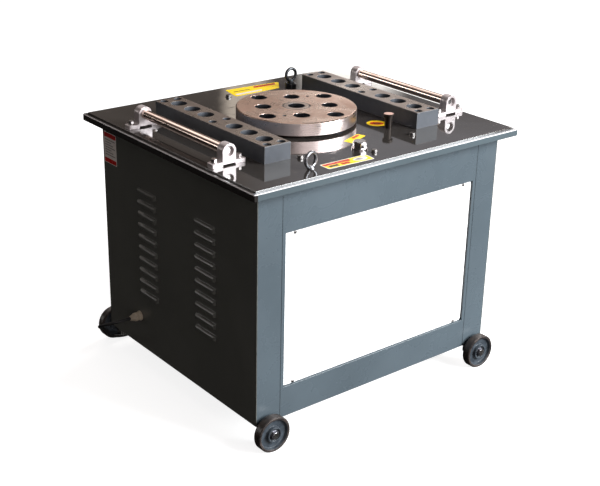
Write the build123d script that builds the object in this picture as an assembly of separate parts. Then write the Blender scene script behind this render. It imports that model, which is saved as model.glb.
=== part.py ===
from build123d import *
import math
import os

# Rebar bender.  Units: millimetres.  +Z is up, +X runs along the front from its
# left end to its right end, -Y is the front.  The origin is on the floor below
# the middle of the table.

# ---- driving dimensions --------------------------------------------------
TABLE_WIDTH = 850.0
TABLE_DEPTH = 760.0
TABLE_BASE_TOP = 678.0
TABLE_BASE_THICK = 17.0
TABLE_BEVEL = 2.0
COVER_THICK = 4.0
COVER_INSET = 10.0
TABLE_TOP = TABLE_BASE_TOP + COVER_THICK
TABLE_BOTTOM = TABLE_BASE_TOP - TABLE_BASE_THICK

CABINET_HALF = 390.0
CABINET_FRONT = -345.0
CABINET_BACK = 340.0
CABINET_BOTTOM = 64.5
SHEET = 2.0
PLATE = 5.0
POST_WIDTH = 72.0
FRAME_HALF = CABINET_HALF - SHEET
POST_INNER = CABINET_HALF - POST_WIDTH
FRONT_TOP_RAIL = 550.0
FRONT_BOTTOM_RAIL = 146.0
JAMB_WIDTH = 10.0
PANEL_RECESS = 5.0
PANEL_GAP = 1.5
PANEL_SCREW_X = 277.0
PANEL_SCREW_INSET = 4.5
LIP = 4.0
REAR_RAIL_TOP = 600.0
REAR_RAIL_BOTTOM = 120.0
RAIL_LEG = 40.0

LOUVER_ROWS = 10
LOUVER_PITCH = 31.8
LOUVER_TOP = 527.0
LOUVER_LENGTH = 84.0
LOUVER_HEIGHT = 13.0
LOUVER_DEPTH = 7.0
LOUVER_COLUMNS = (-137.0, 125.0)

SPINDLE_X = -11.5
SPINDLE_Y = -4.0
DISC_RADIUS = 157.0
DISC_THICK = 35.0
DISC_TOP = 723.0
DISC_BOTTOM = DISC_TOP - DISC_THICK
DISC_TOP_CHAMFER = 2.5
DISC_BOTTOM_CHAMFER = 1.5
DISC_HOLE_RADIUS = 21.5
DISC_HOLE_CHAMFER = 0.8
DISC_HOLE_PITCH = 87.0
DISC_GRID_ANGLE = -29.5
CORE_BORE_RADIUS = 22.5
CORE_BORE_DEPTH = 70.0
SPINDLE_HEAD_RADIUS = 35.5
DISC_SCREW_RADIUS = 4.0
DISC_SCREW_DEPTH = 18.0
DISC_TAP_RADIUS = 5.0
DISC_TAP_DEPTH = 20.0
DISC_TAP_HOLES = ((43.5, 87.0), (-43.5, -87.0))
TABLE_HOLE_RADIUS = 60.0

TABLE_BOLTS = ((-193.0, -249.0), (152.0, -269.0), (-18.0, -315.0), (-25.0, 281.0))
TABLE_BOLT_SHANK = 4.0
TABLE_BOLT_FLATS = 13.0
TABLE_BOLT_HEAD = 5.5
TABLE_WASHER_RADIUS = 8.5
TABLE_WASHER_THICK = 1.6
PLUG_HOLE = (-31.0, -276.0)
FILLER_SHANK = 12.0
FILLER_FLANGE_RADIUS = 19.5
FILLER_FLANGE_THICK = 4.0
FILLER_FLATS = 31.0
FILLER_HEAD = 17.0
PIN_HOLE = (145.0, -187.0)
PIN_RADIUS = 10.0
PIN_HEAD_RADIUS = 13.5
PIN_HEAD = (30.0, 38.0)
PIN_DEPTH = 20.0
FRONT_EYE = (-220.0, -321.0)
FRONT_EYE_TURN = 10.0
REAR_EYE = (181.0, 264.0)
EYE_SHANK = 7.0
EYE_COLLAR_RADIUS = 10.0
FRONT_EYE_SIZES = (1.5, 17.5, 4.6)
REAR_EYE_SIZES = (5.0, 17.0, 4.2)
REAR_EYE_NUT = 14.0

BAR_MIDDLE_X = -9.5
BAR_OFFSET = 243.5
BAR_WIDTH = 77.0
BAR_HEIGHT = 43.0
BAR_LENGTH = 470.0
BAR_CHAMFER = 1.2
BAR_HOLE_RADIUS = 21.0
BAR_HOLE_PITCH = 61.0
BAR_HOLE_STEPS = (-3, -2, -1, 1, 2, 3)
BAR_BOLT_SPREAD = 21.0
BAR_BOLT_END = 221.0
BAR_BOLT_RADIUS = 5.0
BAR_BOLT_HEAD_RADIUS = 8.5
BAR_BOLT_HEAD = 10.0
BAR_BOLT_KEY = 4.6
BAR_COUNTERBORE = 10.5
BAR_COUNTERBORE_DEPTH = 22.0

ROLLER_MIDDLE_X = 2.5
ROLLER_OFFSET = 362.0
BRACKET_OFFSET = 183.0
ROLLER_HEIGHT = 34.0
ROLLER_RADIUS = 12.5
ROLLER_SHAFT_RADIUS = 8.0
ROLLER_CLEARANCE = 0.08
ROLLER_END_GAP = 1.2
BRACKET_HALF_WIDTH = 48.0
BRACKET_HALF_DEPTH = 12.0
BRACKET_BASE = 10.0
BRACKET_BOSS_RADIUS = 18.7
BRACKET_CORNER = 4.0
BRACKET_RECESS_RADIUS = 12.6
BRACKET_RECESS = 8.0
BRACKET_RELIEF_HALF = 17.5
BRACKET_RELIEF = 4.0
BRACKET_BOLT_SPREAD = 35.0
BRACKET_BOLT_RADIUS = 4.5
BRACKET_BOLT_FLATS = 13.0
BRACKET_BOLT_HEAD = 8.5
BRACKET_WASHER_RADIUS = 8.0
BRACKET_WASHER_THICK = 1.6
SHAFT_PROUD = 1.0
CENTRE_DRILL = 2.6

WHEEL_RADIUS = 47.0
WHEEL_WIDTH = 24.0
WHEEL_X = 358.0
WHEEL_AXLE_RADIUS = 8.0
WHEEL_CLEARANCE = 0.08
FRONT_WHEEL_GAP = 10.0
REAR_WHEEL_GAP = 25.0
HUB_RECESS = 4.0
HUB_RECESS_RADIUS = 16.5
AXLE_COLLAR_RADIUS = 12.0
AXLE_PLAY = 0.4
AXLE_TIP = 8.0

MODULE_SLOW = 3.5
SLOW_PINION_TEETH = 15
SLOW_GEAR_TEETH = 75
MODULE_FAST = 2.5
FAST_PINION_TEETH = 16
FAST_GEAR_TEETH = 80
PRESSURE_ANGLE = 25.0
BACKLASH = 0.35
SLOW_SHAFT_ANGLE = 35.0
FAST_SHAFT_ANGLE = 100.0
MOTOR_X = -190.0
MOTOR_Y = 124.0
MOTOR_PULLEY_RADIUS = 40.0
DRIVEN_PULLEY_RADIUS = 125.0
SHAFT_CLEARANCE = 0.05

MOTOR_FRAME_RADIUS = 88.0
MOTOR_BORE_RADIUS = 82.0
MOTOR_FLANGE_RADIUS = 94.0
MOTOR_FIN_TIP = 100.0
MOTOR_FIN_THICK = 3.0
MOTOR_FIN_COUNT = 36
MOTOR_FRAME = (215.0, 430.0)
MOTOR_BACK_FLANGE = 203.0
MOTOR_FRONT_FLANGE = 440.0
MOTOR_TOP = 445.0
MOTOR_BOTTOM = 125.0
MOTOR_SHAFT_RADIUS = 14.0
MOTOR_SHAFT_ENDS = (160.0, 515.0)
MOTOR_FOOT_MIDDLE = 322.5
MOTOR_FOOT_RISE = 70.0
MOTOR_FOOT_SPREAD = 80.0
MOTOR_FOOT_HALF = 16.0
MOTOR_FOOT_FACE = 100.0
MOTOR_FOOT_THICK = 12.0
MOTOR_BOLT_RADIUS = 5.0
FAN_COVER_RADIUS = 97.0
FAN_COVER_WALL = 2.0
FAN_BLADES = 6

STAND_HALF = 120.0
STAND_REACH = 195.0
STAND_PLATE = 8.0
STAND_TOP = 455.0
STAND_GUSSET_TOP = 400.0
CHANNEL_Y = (195.0, 285.0)
CHANNEL_HEIGHT = 35.0
CHANNEL_WALL = 4.0

BOX_WIDTH = 130.0
BOX_Y = (-220.0, -20.0)
BOX_Z = (330.0, 590.0)
BOX_WALL = 4.0
BOX_LID = 3.0

GROOVES = (477.5, 502.5)
GROOVE_TOP_HALF = 8.0
GROOVE_DEPTH = 12.0
GROOVE_FLOOR_HALF = 3.8
BELT_CLEAR = 0.5
BELT_HALF = 5.2

CABLE_DIAMETER = 8.5
GLAND_Y = 180.0
GLAND_Z = 155.0
GLAND_LENGTH = 32.0
COIL_X = -120.0
COIL_Y = 480.0
COIL_MEAN_RADIUS = 51.0
COIL_HALF_WIDTH = 17.0
COIL_HEIGHT = 17.0
PLUG_X = 24.0
PLUG_Y = 441.0
PLUG_RADIUS = 26.0

# ---- positions worked out from the driving dimensions --------------------
SLOW_CENTRES = MODULE_SLOW * (SLOW_PINION_TEETH + SLOW_GEAR_TEETH) / 2
FAST_CENTRES = MODULE_FAST * (FAST_PINION_TEETH + FAST_GEAR_TEETH) / 2
SECOND_X = SPINDLE_X + SLOW_CENTRES * math.cos(math.radians(SLOW_SHAFT_ANGLE))
SECOND_Y = SPINDLE_Y + SLOW_CENTRES * math.sin(math.radians(SLOW_SHAFT_ANGLE))
INPUT_X = SECOND_X + FAST_CENTRES * math.cos(math.radians(FAST_SHAFT_ANGLE))
INPUT_Y = SECOND_Y + FAST_CENTRES * math.sin(math.radians(FAST_SHAFT_ANGLE))

# ---- heights inside the gear case ----------------------------------------
CASE_TOP_WALL = 12.0
CASE_BOTTOM = 525.0
COVER_PLATE = 12.0
BULL_GEAR = (600.0, 640.0)
SLOW_PINION = (597.0, 641.0)
FAST_GEAR = (560.0, 585.0)
FAST_PINION = (557.0, 588.0)
CASE_X = (SPINDLE_X - 155.0, SPINDLE_X + 251.0)
CASE_Y = (SPINDLE_Y - 156.0, SPINDLE_Y + 259.0)
CASE_WALL = 10.0
CASE_FLANGE = 24.0
CASE_CORNER = 22.0
PULLEY_Z = (465.0, 515.0)
FLANGE_LOW = TABLE_TOP + 1.0

# Radius, low end and high end of each step of the three shafts.
SPINDLE_STEPS = (
    (28.0, 500.0, 525.0),
    (30.0, 525.0, 549.0),
    (34.0, 549.0, 640.0),
    (35.0, 640.0, 661.0),
    (38.0, 661.0, FLANGE_LOW),
    (55.0, FLANGE_LOW, DISC_BOTTOM),
    (SPINDLE_HEAD_RADIUS, DISC_BOTTOM, DISC_TOP),
)
SECOND_STEPS = (
    (15.0, 527.0, 549.0),
    (17.0, 549.0, 586.0),
    (20.0, 586.0, SLOW_PINION[0] + 1),
    (12.5, SLOW_PINION[1] - 1, 660.0),
)
INPUT_STEPS = (
    (12.5, 452.0, 525.0),
    (14.0, 525.0, FAST_PINION[0] + 1),
    (16.0, FAST_PINION[1] - 1, 643.0),
    (12.5, 643.0, 660.0),
)

# Middle, shaft radius, outer radius, low end and high end of each bearing.
BEARINGS = (
    (SPINDLE_X, SPINDLE_Y, 35.0, 55.0, 641.0, 660.0),
    (SPINDLE_X, SPINDLE_Y, 30.0, 48.0, 528.0, 548.0),
    (SECOND_X, SECOND_Y, 12.5, 26.0, 645.0, 660.0),
    (SECOND_X, SECOND_Y, 15.0, 31.0, 528.0, 548.0),
    (INPUT_X, INPUT_Y, 12.5, 26.0, 645.0, 660.0),
    (INPUT_X, INPUT_Y, 14.0, 29.0, 528.0, 548.0),
)

# ---- the cable's middle line ----------------------------------------------
CABLE_ROUTE = (
    (-CABINET_HALF - GLAND_LENGTH, GLAND_Y, GLAND_Z),
    (-449.0, GLAND_Y, GLAND_Z),
    (-472.0, 191.5, 150.0),
    (-484.5, 214.0, 139.5),
    (-483.5, 240.0, 125.0),
    (-470.0, 263.0, 109.0),
    (-449.0, 284.0, 92.0),
    (-429.0, 304.0, 73.0),
    (-413.0, 324.0, 52.0),
    (-398.0, 341.0, 31.0),
    (-374.0, 352.0, 15.5),
    (-343.0, 355.0, 7.0),
    (-310.0, 361.0, 4.4),
    (-268.0, 380.0, 4.25),
    (-226.0, 398.0, 4.25),
    (-186.0, 407.0, 4.25),
    (-146.0, 408.0, 4.25),
    (-109.0, 411.0, 4.3),
    (-72.0, 434.5, 4.25),
)
TAIL_ROUTE = (
    (-96.0, 420.5, 12.75),
    (-66.0, 433.0, 14.0),
    (-36.0, 440.0, 19.5),
    (-7.0, PLUG_Y, PLUG_RADIUS),
    (PLUG_X, PLUG_Y, PLUG_RADIUS),
)

os.makedirs("parts", exist_ok=True)


# ---- small shapes --------------------------------------------------------
def block(x0, x1, y0, y1, z0, z1):
    """A box between two corners."""
    middle = Pos((x0 + x1) / 2, (y0 + y1) / 2, (z0 + z1) / 2)
    return middle * Box(abs(x1 - x0), abs(y1 - y0), abs(z1 - z0))


def post(radius, z0, z1, x=0.0, y=0.0):
    """A round bar that stands upright."""
    return Pos(x, y, (z0 + z1) / 2) * Cylinder(radius, z1 - z0)


def bar_y(radius, y0, y1, x, z):
    """A round bar that lies along Y."""
    return Pos(x, (y0 + y1) / 2, z) * Rot(90, 0, 0) * Cylinder(radius, y1 - y0)


def bar_x(radius, x0, x1, y, z):
    """A round bar that lies along X."""
    return Pos((x0 + x1) / 2, y, z) * Rot(0, 90, 0) * Cylinder(radius, x1 - x0)


def ring(outer, inner, z0, z1, x=0.0, y=0.0):
    """An upright tube."""
    return post(outer, z0, z1, x, y) - post(inner, z0, z1, x, y)


def stepped(steps, x, y):
    """An upright shaft made of round steps."""
    shaft = post(*steps[0], x, y)
    for step in steps[1:]:
        shaft = shaft + post(*step, x, y)
    return shaft


def hexagon(across_flats, height):
    """A hexagonal prism that stands on Z = 0, with its top corners broken."""
    corner = across_flats / math.sqrt(3)
    prism = extrude(RegularPolygon(corner, 6), height)
    cone = Pos(0, 0, height / 2) * Cylinder(corner * 0.97, height)
    return prism & chamfer(cone.edges().sort_by(Axis.Z)[-1], height * 0.18)


def hex_bolt(across_flats, head, shank_radius, shank):
    """A bolt with the underside of its head on Z = 0 and its shank below."""
    return hexagon(across_flats, head) + post(shank_radius, -shank, 0)


def group(pieces):
    """Separate solids kept together in one node."""
    return Compound([solid for piece in pieces for solid in piece.solids()])


def mirrored(piece):
    """The same piece on the other side of the cabinet."""
    return mirror(piece, about=Plane.YZ)


# ---- gears ---------------------------------------------------------------
def involute(angle):
    return math.tan(angle) - angle


def gear_face(module, teeth):
    """The outline of a spur gear with a tooth centred on +X."""
    pitch = module * teeth / 2
    pressure = math.radians(PRESSURE_ANGLE)
    base = pitch * math.cos(pressure)
    tip = pitch + module
    root = pitch - 1.25 * module
    half = math.pi / (2 * teeth) - BACKLASH / (2 * pitch) + involute(pressure)
    flank = [(root, half - involute(math.acos(min(1.0, base / max(root, base)))))]
    flank_start = max(root, base)
    flank_points = 4
    for step in range(flank_points + 1):
        radius = flank_start + (tip - flank_start) * step / flank_points
        flank.append((radius, half - involute(math.acos(min(1.0, base / radius)))))
    if root >= base:
        flank = flank[1:]
    outline = []
    for tooth in range(teeth):
        middle = 2 * math.pi * tooth / teeth
        rise = [(radius, middle - offset) for radius, offset in flank]
        fall = [(radius, middle + offset) for radius, offset in reversed(flank)]
        for radius, angle in rise + fall:
            outline.append((radius * math.cos(angle), radius * math.sin(angle)))
    return make_face(Polyline(*outline, close=True))


def gear(module, teeth, z0, z1, x, y, turn):
    """A spur gear between two heights, turned by an angle in degrees."""
    return Pos(x, y, z0) * Rot(0, 0, turn) * extrude(gear_face(module, teeth), z1 - z0)


def gap_turn(teeth, direction):
    """The turn that puts a gap between two teeth in a given direction."""
    return direction + 180.0 / teeth


# ---- frame and panels ----------------------------------------------------
def corner_post(side, front):
    """An angle post: a wide face to the front or back and a leg along the side."""
    face = CABINET_FRONT if front else CABINET_BACK
    inward = 1 if front else -1
    wide = block(side * FRAME_HALF, side * POST_INNER, face, face + inward * PLATE,
                 CABINET_BOTTOM, TABLE_BOTTOM)
    leg = block(side * FRAME_HALF, side * (FRAME_HALF - PLATE), face, face + inward * POST_WIDTH,
                CABINET_BOTTOM, TABLE_BOTTOM)
    return wide + leg


def front_rail(z0, z1, inner_edge, lip_end):
    """A folded rail: its face, a return at the opening and a lip behind the panel."""
    face = block(-POST_INNER, POST_INNER, CABINET_FRONT, CABINET_FRONT + PLATE, z0, z1)
    lip_front = CABINET_FRONT + PANEL_RECESS + SHEET
    toward = math.copysign(PLATE, (z0 + z1) / 2 - inner_edge)
    fold = block(-POST_INNER, POST_INNER, CABINET_FRONT, lip_front + LIP, inner_edge,
                 inner_edge + toward)
    lip = block(-POST_INNER, POST_INNER, lip_front, lip_front + LIP, inner_edge + toward, lip_end)
    return face + fold + lip


def front_jamb(side):
    """The narrow strip between a post and the access opening."""
    return block(side * POST_INNER, side * (POST_INNER - JAMB_WIDTH), CABINET_FRONT,
                 CABINET_FRONT + PLATE, FRONT_BOTTOM_RAIL, FRONT_TOP_RAIL)


def side_rail(side, z0, z1, flange_z):
    """An angle rail between the two posts of one side."""
    start = CABINET_FRONT + POST_WIDTH
    end = CABINET_BACK - POST_WIDTH
    web = block(side * FRAME_HALF, side * (FRAME_HALF - PLATE), start, end, z0, z1)
    flange = block(side * FRAME_HALF, side * (FRAME_HALF - RAIL_LEG), start, end, flange_z,
                   flange_z + PLATE)
    return web + flange


def cross_channel(y):
    """A channel across the bottom of the frame, open downwards, that carries the motor stand."""
    low = CABINET_BOTTOM + PLATE
    half = FRAME_HALF - PLATE
    outer = block(-half, half, y, y + RAIL_LEG, low, low + CHANNEL_HEIGHT)
    inner = block(-half, half, y + CHANNEL_WALL, y + RAIL_LEG - CHANNEL_WALL, low,
                  low + CHANNEL_HEIGHT - CHANNEL_WALL)
    return outer - inner


def make_frame():
    posts = [corner_post(side, front) for side in (-1, 1) for front in (True, False)]
    rails = [
        front_rail(FRONT_TOP_RAIL, TABLE_BOTTOM, FRONT_TOP_RAIL, FRONT_TOP_RAIL - 15),
        front_rail(CABINET_BOTTOM, FRONT_BOTTOM_RAIL, FRONT_BOTTOM_RAIL, FRONT_BOTTOM_RAIL + 15),
        front_jamb(-1),
        front_jamb(1),
        block(-POST_INNER, POST_INNER, CABINET_BACK - PLATE, CABINET_BACK, REAR_RAIL_TOP,
              TABLE_BOTTOM),
        block(-POST_INNER, POST_INNER, CABINET_BACK - PLATE, CABINET_BACK, CABINET_BOTTOM,
              REAR_RAIL_BOTTOM),
    ]
    for side in (-1, 1):
        rails.append(side_rail(side, TABLE_BOTTOM - RAIL_LEG, TABLE_BOTTOM, TABLE_BOTTOM - PLATE))
        rails.append(side_rail(side, CABINET_BOTTOM, CABINET_BOTTOM + RAIL_LEG, CABINET_BOTTOM))
    rails.append(block(FRAME_HALF - PLATE, FRAME_HALF, CABINET_FRONT + POST_WIDTH,
                       CABINET_BACK - POST_WIDTH, 380, 420))
    return group(posts), group(rails), group([cross_channel(y) for y in CHANNEL_Y])


def louver_hood(shrink, depth_in):
    """One pressed hood that stands out of a sheet on its -X side and is open below."""
    depth = LOUVER_DEPTH - shrink
    height = LOUVER_HEIGHT - shrink
    length = LOUVER_LENGTH - 2 * shrink
    hood = Pos((depth_in - depth) / 2, 0, -height / 2) * Box(depth + depth_in, length, height)
    outer_edges = hood.faces().sort_by(Axis.X)[0].edges()
    rounded = [edge for edge in outer_edges if edge.center().Z > -height + 0.1]
    return fillet(rounded, depth * 0.8)


def louvered_panel():
    """The left side sheet with two columns of louvers."""
    sheet = block(-CABINET_HALF, -FRAME_HALF, CABINET_FRONT, CABINET_BACK, CABINET_BOTTOM,
                  TABLE_BOTTOM)
    shell = 1.2
    hood = louver_hood(0.0, 0.0)
    hollow = Pos(0, 0, -shell) * louver_hood(shell, SHEET)
    hollow = hollow + Pos((SHEET - LOUVER_DEPTH + shell) / 2, 0, -LOUVER_HEIGHT) * Box(
        SHEET + LOUVER_DEPTH - shell, LOUVER_LENGTH - 4 * shell, 2)
    hollow = hollow - block(0, SHEET, -LOUVER_LENGTH, LOUVER_LENGTH, -LOUVER_HEIGHT - 1,
                            -LOUVER_HEIGHT)
    places = [Pos(-CABINET_HALF, y, LOUVER_TOP - row * LOUVER_PITCH)
              for y in LOUVER_COLUMNS for row in range(LOUVER_ROWS)]
    return sheet + [place * hood for place in places] - [place * hollow for place in places]


def make_panels():
    left = louvered_panel()
    opening = POST_INNER - JAMB_WIDTH - PANEL_GAP
    panel_face = CABINET_FRONT + PANEL_RECESS
    front = block(-opening, opening, panel_face, panel_face + SHEET,
                  FRONT_BOTTOM_RAIL + PANEL_GAP, FRONT_TOP_RAIL - PANEL_GAP)
    front = fillet(front.edges().filter_by(Axis.Y), 8)
    rear = block(-332, 332, CABINET_BACK, CABINET_BACK + SHEET, 108, 612)
    rear = fillet(rear.edges().filter_by(Axis.Y), 10)
    return left, mirrored(left), front, rear


def make_panel_screws():
    """Pan head screws for the front and rear panels, with shanks in the sheet."""
    def screw(x, z, face, outward):
        head = bar_y(4.0, min(face, face + outward * 2.4), max(face, face + outward * 2.4), x, z)
        return fillet(head.edges().sort_by(Axis.Y)[0 if outward < 0 else -1], 1.4)

    face = CABINET_FRONT + PANEL_RECESS
    heights = (FRONT_BOTTOM_RAIL + PANEL_GAP + PANEL_SCREW_INSET,
               FRONT_TOP_RAIL - PANEL_GAP - PANEL_SCREW_INSET)
    screws = [screw(x, z, face, -1) for x in (-PANEL_SCREW_X, PANEL_SCREW_X) for z in heights]
    screws += [screw(x, z, CABINET_BACK + SHEET, 1) for x in (-318, 0, 318) for z in (116, 604)]
    return group(screws)


# ---- table ---------------------------------------------------------------
def make_table():
    holes = [post(TABLE_HOLE_RADIUS, TABLE_BOTTOM, TABLE_TOP, SPINDLE_X, SPINDLE_Y)]
    holes += [post(TABLE_BOLT_SHANK, TABLE_BOTTOM, TABLE_TOP, x, y) for x, y in TABLE_BOLTS]
    holes.append(post(FILLER_SHANK, TABLE_BOTTOM, TABLE_TOP, *PLUG_HOLE))
    holes.append(post(PIN_RADIUS + SHAFT_CLEARANCE, TABLE_BOTTOM, TABLE_TOP, *PIN_HOLE))
    holes += [post(EYE_SHANK, TABLE_BOTTOM, TABLE_TOP, *spot) for spot in (FRONT_EYE, REAR_EYE)]
    base = block(-TABLE_WIDTH / 2, TABLE_WIDTH / 2, -TABLE_DEPTH / 2, TABLE_DEPTH / 2,
                 TABLE_BOTTOM, TABLE_BASE_TOP)
    base = fillet(base.edges().filter_by(Axis.Z), 3)
    base = chamfer(base.faces().sort_by(Axis.Z)[-1].edges(), TABLE_BEVEL)
    half_x = TABLE_WIDTH / 2 - COVER_INSET
    half_y = TABLE_DEPTH / 2 - COVER_INSET
    cover = block(-half_x, half_x, -half_y, half_y, TABLE_BASE_TOP, TABLE_TOP)
    cover = fillet(cover.edges().filter_by(Axis.Z), 2)
    cover = chamfer(cover.faces().sort_by(Axis.Z)[-1].edges(), 1)
    return base - holes, cover - holes


def make_table_bolts():
    depth = COVER_THICK + TABLE_BASE_THICK
    bolts = []
    for x, y in TABLE_BOLTS:
        seat = TABLE_TOP + TABLE_WASHER_THICK
        washer = ring(TABLE_WASHER_RADIUS, TABLE_BOLT_SHANK, TABLE_TOP, seat, x, y)
        bolt = hex_bolt(TABLE_BOLT_FLATS, TABLE_BOLT_HEAD, TABLE_BOLT_SHANK,
                        depth + TABLE_WASHER_THICK)
        bolts += [washer, Pos(x, y, seat) * bolt]
    return group(bolts)


def make_filler_plug():
    """The hexagonal oil filler plug of the gear case, with a round flange."""
    flange = post(FILLER_FLANGE_RADIUS, 0, FILLER_FLANGE_THICK)
    head = Pos(0, 0, FILLER_FLANGE_THICK) * hexagon(FILLER_FLATS, FILLER_HEAD)
    shank = post(FILLER_SHANK, -COVER_THICK - TABLE_BASE_THICK, 0)
    return Pos(*PLUG_HOLE, TABLE_TOP) * (flange + head + shank)


def make_locating_pin():
    """A loose stop pin that stands in its hole in the table, with a wider turned head."""
    shank = post(PIN_RADIUS, -PIN_DEPTH, PIN_HEAD[1] - 1)
    head = chamfer(post(PIN_HEAD_RADIUS, *PIN_HEAD).edges().sort_by(Axis.Z)[-1], 1)
    tip = chamfer((shank + head).edges().sort_by(Axis.Z)[0], 1.5)
    return Pos(*PIN_HOLE, TABLE_TOP) * tip


def eye_bolt(collar_height, ring_radius, wire):
    """A lifting eye: a shank, a collar and an upright ring that lies in the XZ plane."""
    shank = post(EYE_SHANK, -COVER_THICK - TABLE_BASE_THICK, 0)
    collar = post(EYE_COLLAR_RADIUS, 0, collar_height)
    collar = chamfer(collar.edges().sort_by(Axis.Z)[-1], collar_height / 3)
    middle = collar_height + ring_radius + wire * 0.5
    eye = Pos(0, 0, middle) * Rot(90, 0, 0) * Torus(ring_radius, wire)
    neck = Cone(wire * 2, wire * 1.2, wire + 2, align=(Align.CENTER, Align.CENTER, Align.MIN))
    return shank + collar + Pos(0, 0, collar_height) * neck + eye


def make_lifting_eyes():
    front = Pos(*FRONT_EYE, TABLE_TOP) * Rot(0, 0, FRONT_EYE_TURN) * eye_bolt(*FRONT_EYE_SIZES)
    rear = Pos(*REAR_EYE, TABLE_TOP + REAR_EYE_NUT) * eye_bolt(*REAR_EYE_SIZES)
    lock_nut = hexagon(30, REAR_EYE_NUT) - post(EYE_SHANK, 0, REAR_EYE_NUT)
    lock_nut = Pos(*REAR_EYE, TABLE_TOP) * lock_nut
    return group([front, rear, lock_nut])


# ---- socket bars ---------------------------------------------------------
def bar_bolt_places():
    return [(across, along) for along in (-BAR_BOLT_END, 0.0, BAR_BOLT_END)
            for across in (-BAR_BOLT_SPREAD, BAR_BOLT_SPREAD)]


def socket_bar(side):
    """A drilled steel bar that holds the fence pins beside the disc."""
    x = BAR_MIDDLE_X + side * BAR_OFFSET
    body = Pos(x, SPINDLE_Y, TABLE_TOP + BAR_HEIGHT / 2) * Box(BAR_WIDTH, BAR_LENGTH, BAR_HEIGHT)
    body = chamfer(body.edges().group_by(Axis.Z)[-1], BAR_CHAMFER)
    top = TABLE_TOP + BAR_HEIGHT
    holes = []
    for step in BAR_HOLE_STEPS:
        y = SPINDLE_Y + step * BAR_HOLE_PITCH
        holes.append(post(BAR_HOLE_RADIUS, TABLE_TOP, top, x, y))
    for across, along in bar_bolt_places():
        spot = (x + across, SPINDLE_Y + along)
        holes.append(post(BAR_COUNTERBORE, top - BAR_COUNTERBORE_DEPTH, top, *spot))
        holes.append(post(BAR_BOLT_RADIUS, TABLE_TOP, top, *spot))
    return body - holes


def make_bar_bolts():
    """Socket head cap screws that hold the bars down."""
    seat = TABLE_TOP + BAR_HEIGHT - BAR_COUNTERBORE_DEPTH
    bolts = []
    for side in (-1, 1):
        for across, along in bar_bolt_places():
            x = BAR_MIDDLE_X + side * BAR_OFFSET + across
            y = SPINDLE_Y + along
            key = extrude(RegularPolygon(BAR_BOLT_KEY, 6), BAR_BOLT_HEAD / 2)
            head = post(BAR_BOLT_HEAD_RADIUS, seat, seat + BAR_BOLT_HEAD)
            head = head - Pos(0, 0, seat + BAR_BOLT_HEAD / 2) * key
            bolts.append(Pos(x, y, 0) * (head + post(BAR_BOLT_RADIUS, TABLE_TOP, seat)))
    return group(bolts)


# ---- feed rollers --------------------------------------------------------
def roller_bracket(side, end):
    """A pillow block: a flanged base, an arched boss and a recess for the shaft's end."""
    base = Pos(0, 0, BRACKET_BASE / 2) * Box(2 * BRACKET_HALF_WIDTH, 2 * BRACKET_HALF_DEPTH,
                                            BRACKET_BASE)
    base = fillet(base.edges().filter_by(Axis.Z), BRACKET_CORNER)
    arch = bar_y(BRACKET_BOSS_RADIUS, -BRACKET_HALF_DEPTH, BRACKET_HALF_DEPTH, 0, ROLLER_HEIGHT)
    pier = block(-BRACKET_BOSS_RADIUS, BRACKET_BOSS_RADIUS, -BRACKET_HALF_DEPTH,
                 BRACKET_HALF_DEPTH, 0, ROLLER_HEIGHT)
    outer_face = end * BRACKET_HALF_DEPTH
    recess_floor = outer_face - end * BRACKET_RECESS
    recess = bar_y(BRACKET_RECESS_RADIUS, min(outer_face, recess_floor),
                   max(outer_face, recess_floor), 0, ROLLER_HEIGHT)
    bore = bar_y(ROLLER_SHAFT_RADIUS, -BRACKET_HALF_DEPTH, BRACKET_HALF_DEPTH, 0, ROLLER_HEIGHT)
    relief = block(-BRACKET_RELIEF_HALF, BRACKET_RELIEF_HALF, -BRACKET_HALF_DEPTH,
                   BRACKET_HALF_DEPTH, 0, BRACKET_RELIEF)
    holes = [post(BRACKET_BOLT_RADIUS, 0, BRACKET_BASE, across * BRACKET_BOLT_SPREAD)
             for across in (-1, 1)]
    body = base + arch + pier - recess - bore - relief - holes
    return Pos(roller_x(side), end * BRACKET_OFFSET, TABLE_TOP) * body


def make_bracket_bolts():
    seat = BRACKET_BASE + BRACKET_WASHER_THICK
    washer = ring(BRACKET_WASHER_RADIUS, BRACKET_BOLT_RADIUS, BRACKET_BASE, seat)
    bolt = Pos(0, 0, seat) * hex_bolt(BRACKET_BOLT_FLATS, BRACKET_BOLT_HEAD, BRACKET_BOLT_RADIUS,
                                      seat)
    bolts = []
    for side in (-1, 1):
        for end in (-1, 1):
            for across in (-1, 1):
                place = Pos(roller_x(side) + across * BRACKET_BOLT_SPREAD, end * BRACKET_OFFSET,
                            TABLE_TOP)
                bolts += [place * washer, place * bolt]
    return group(bolts)


def roller_x(side):
    return ROLLER_MIDDLE_X + side * ROLLER_OFFSET


def roller_shaft(side):
    """A fixed shaft between the brackets, centre drilled at both ends."""
    x = roller_x(side)
    z = TABLE_TOP + ROLLER_HEIGHT
    reach = BRACKET_OFFSET + BRACKET_HALF_DEPTH - BRACKET_RECESS + SHAFT_PROUD
    shaft = bar_y(ROLLER_SHAFT_RADIUS, -reach, reach, x, z)
    shaft = chamfer(shaft.edges().filter_by(GeomType.CIRCLE), SHAFT_PROUD)
    marks = [Pos(x, end * reach, z) * Rot(90 * end, 0, 0)
             * Cone(CENTRE_DRILL, CENTRE_DRILL / 4, 2 * CENTRE_DRILL) for end in (-1, 1)]
    return shaft - marks


def roller_tube(side):
    """The turning sleeve that the bar slides over."""
    x = roller_x(side)
    z = TABLE_TOP + ROLLER_HEIGHT
    reach = BRACKET_OFFSET - BRACKET_HALF_DEPTH - ROLLER_END_GAP
    tube = bar_y(ROLLER_RADIUS, -reach, reach, x, z)
    tube = chamfer(tube.edges().filter_by(GeomType.CIRCLE), 1)
    return tube - bar_y(ROLLER_SHAFT_RADIUS + ROLLER_CLEARANCE, -reach, reach, x, z)


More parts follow.
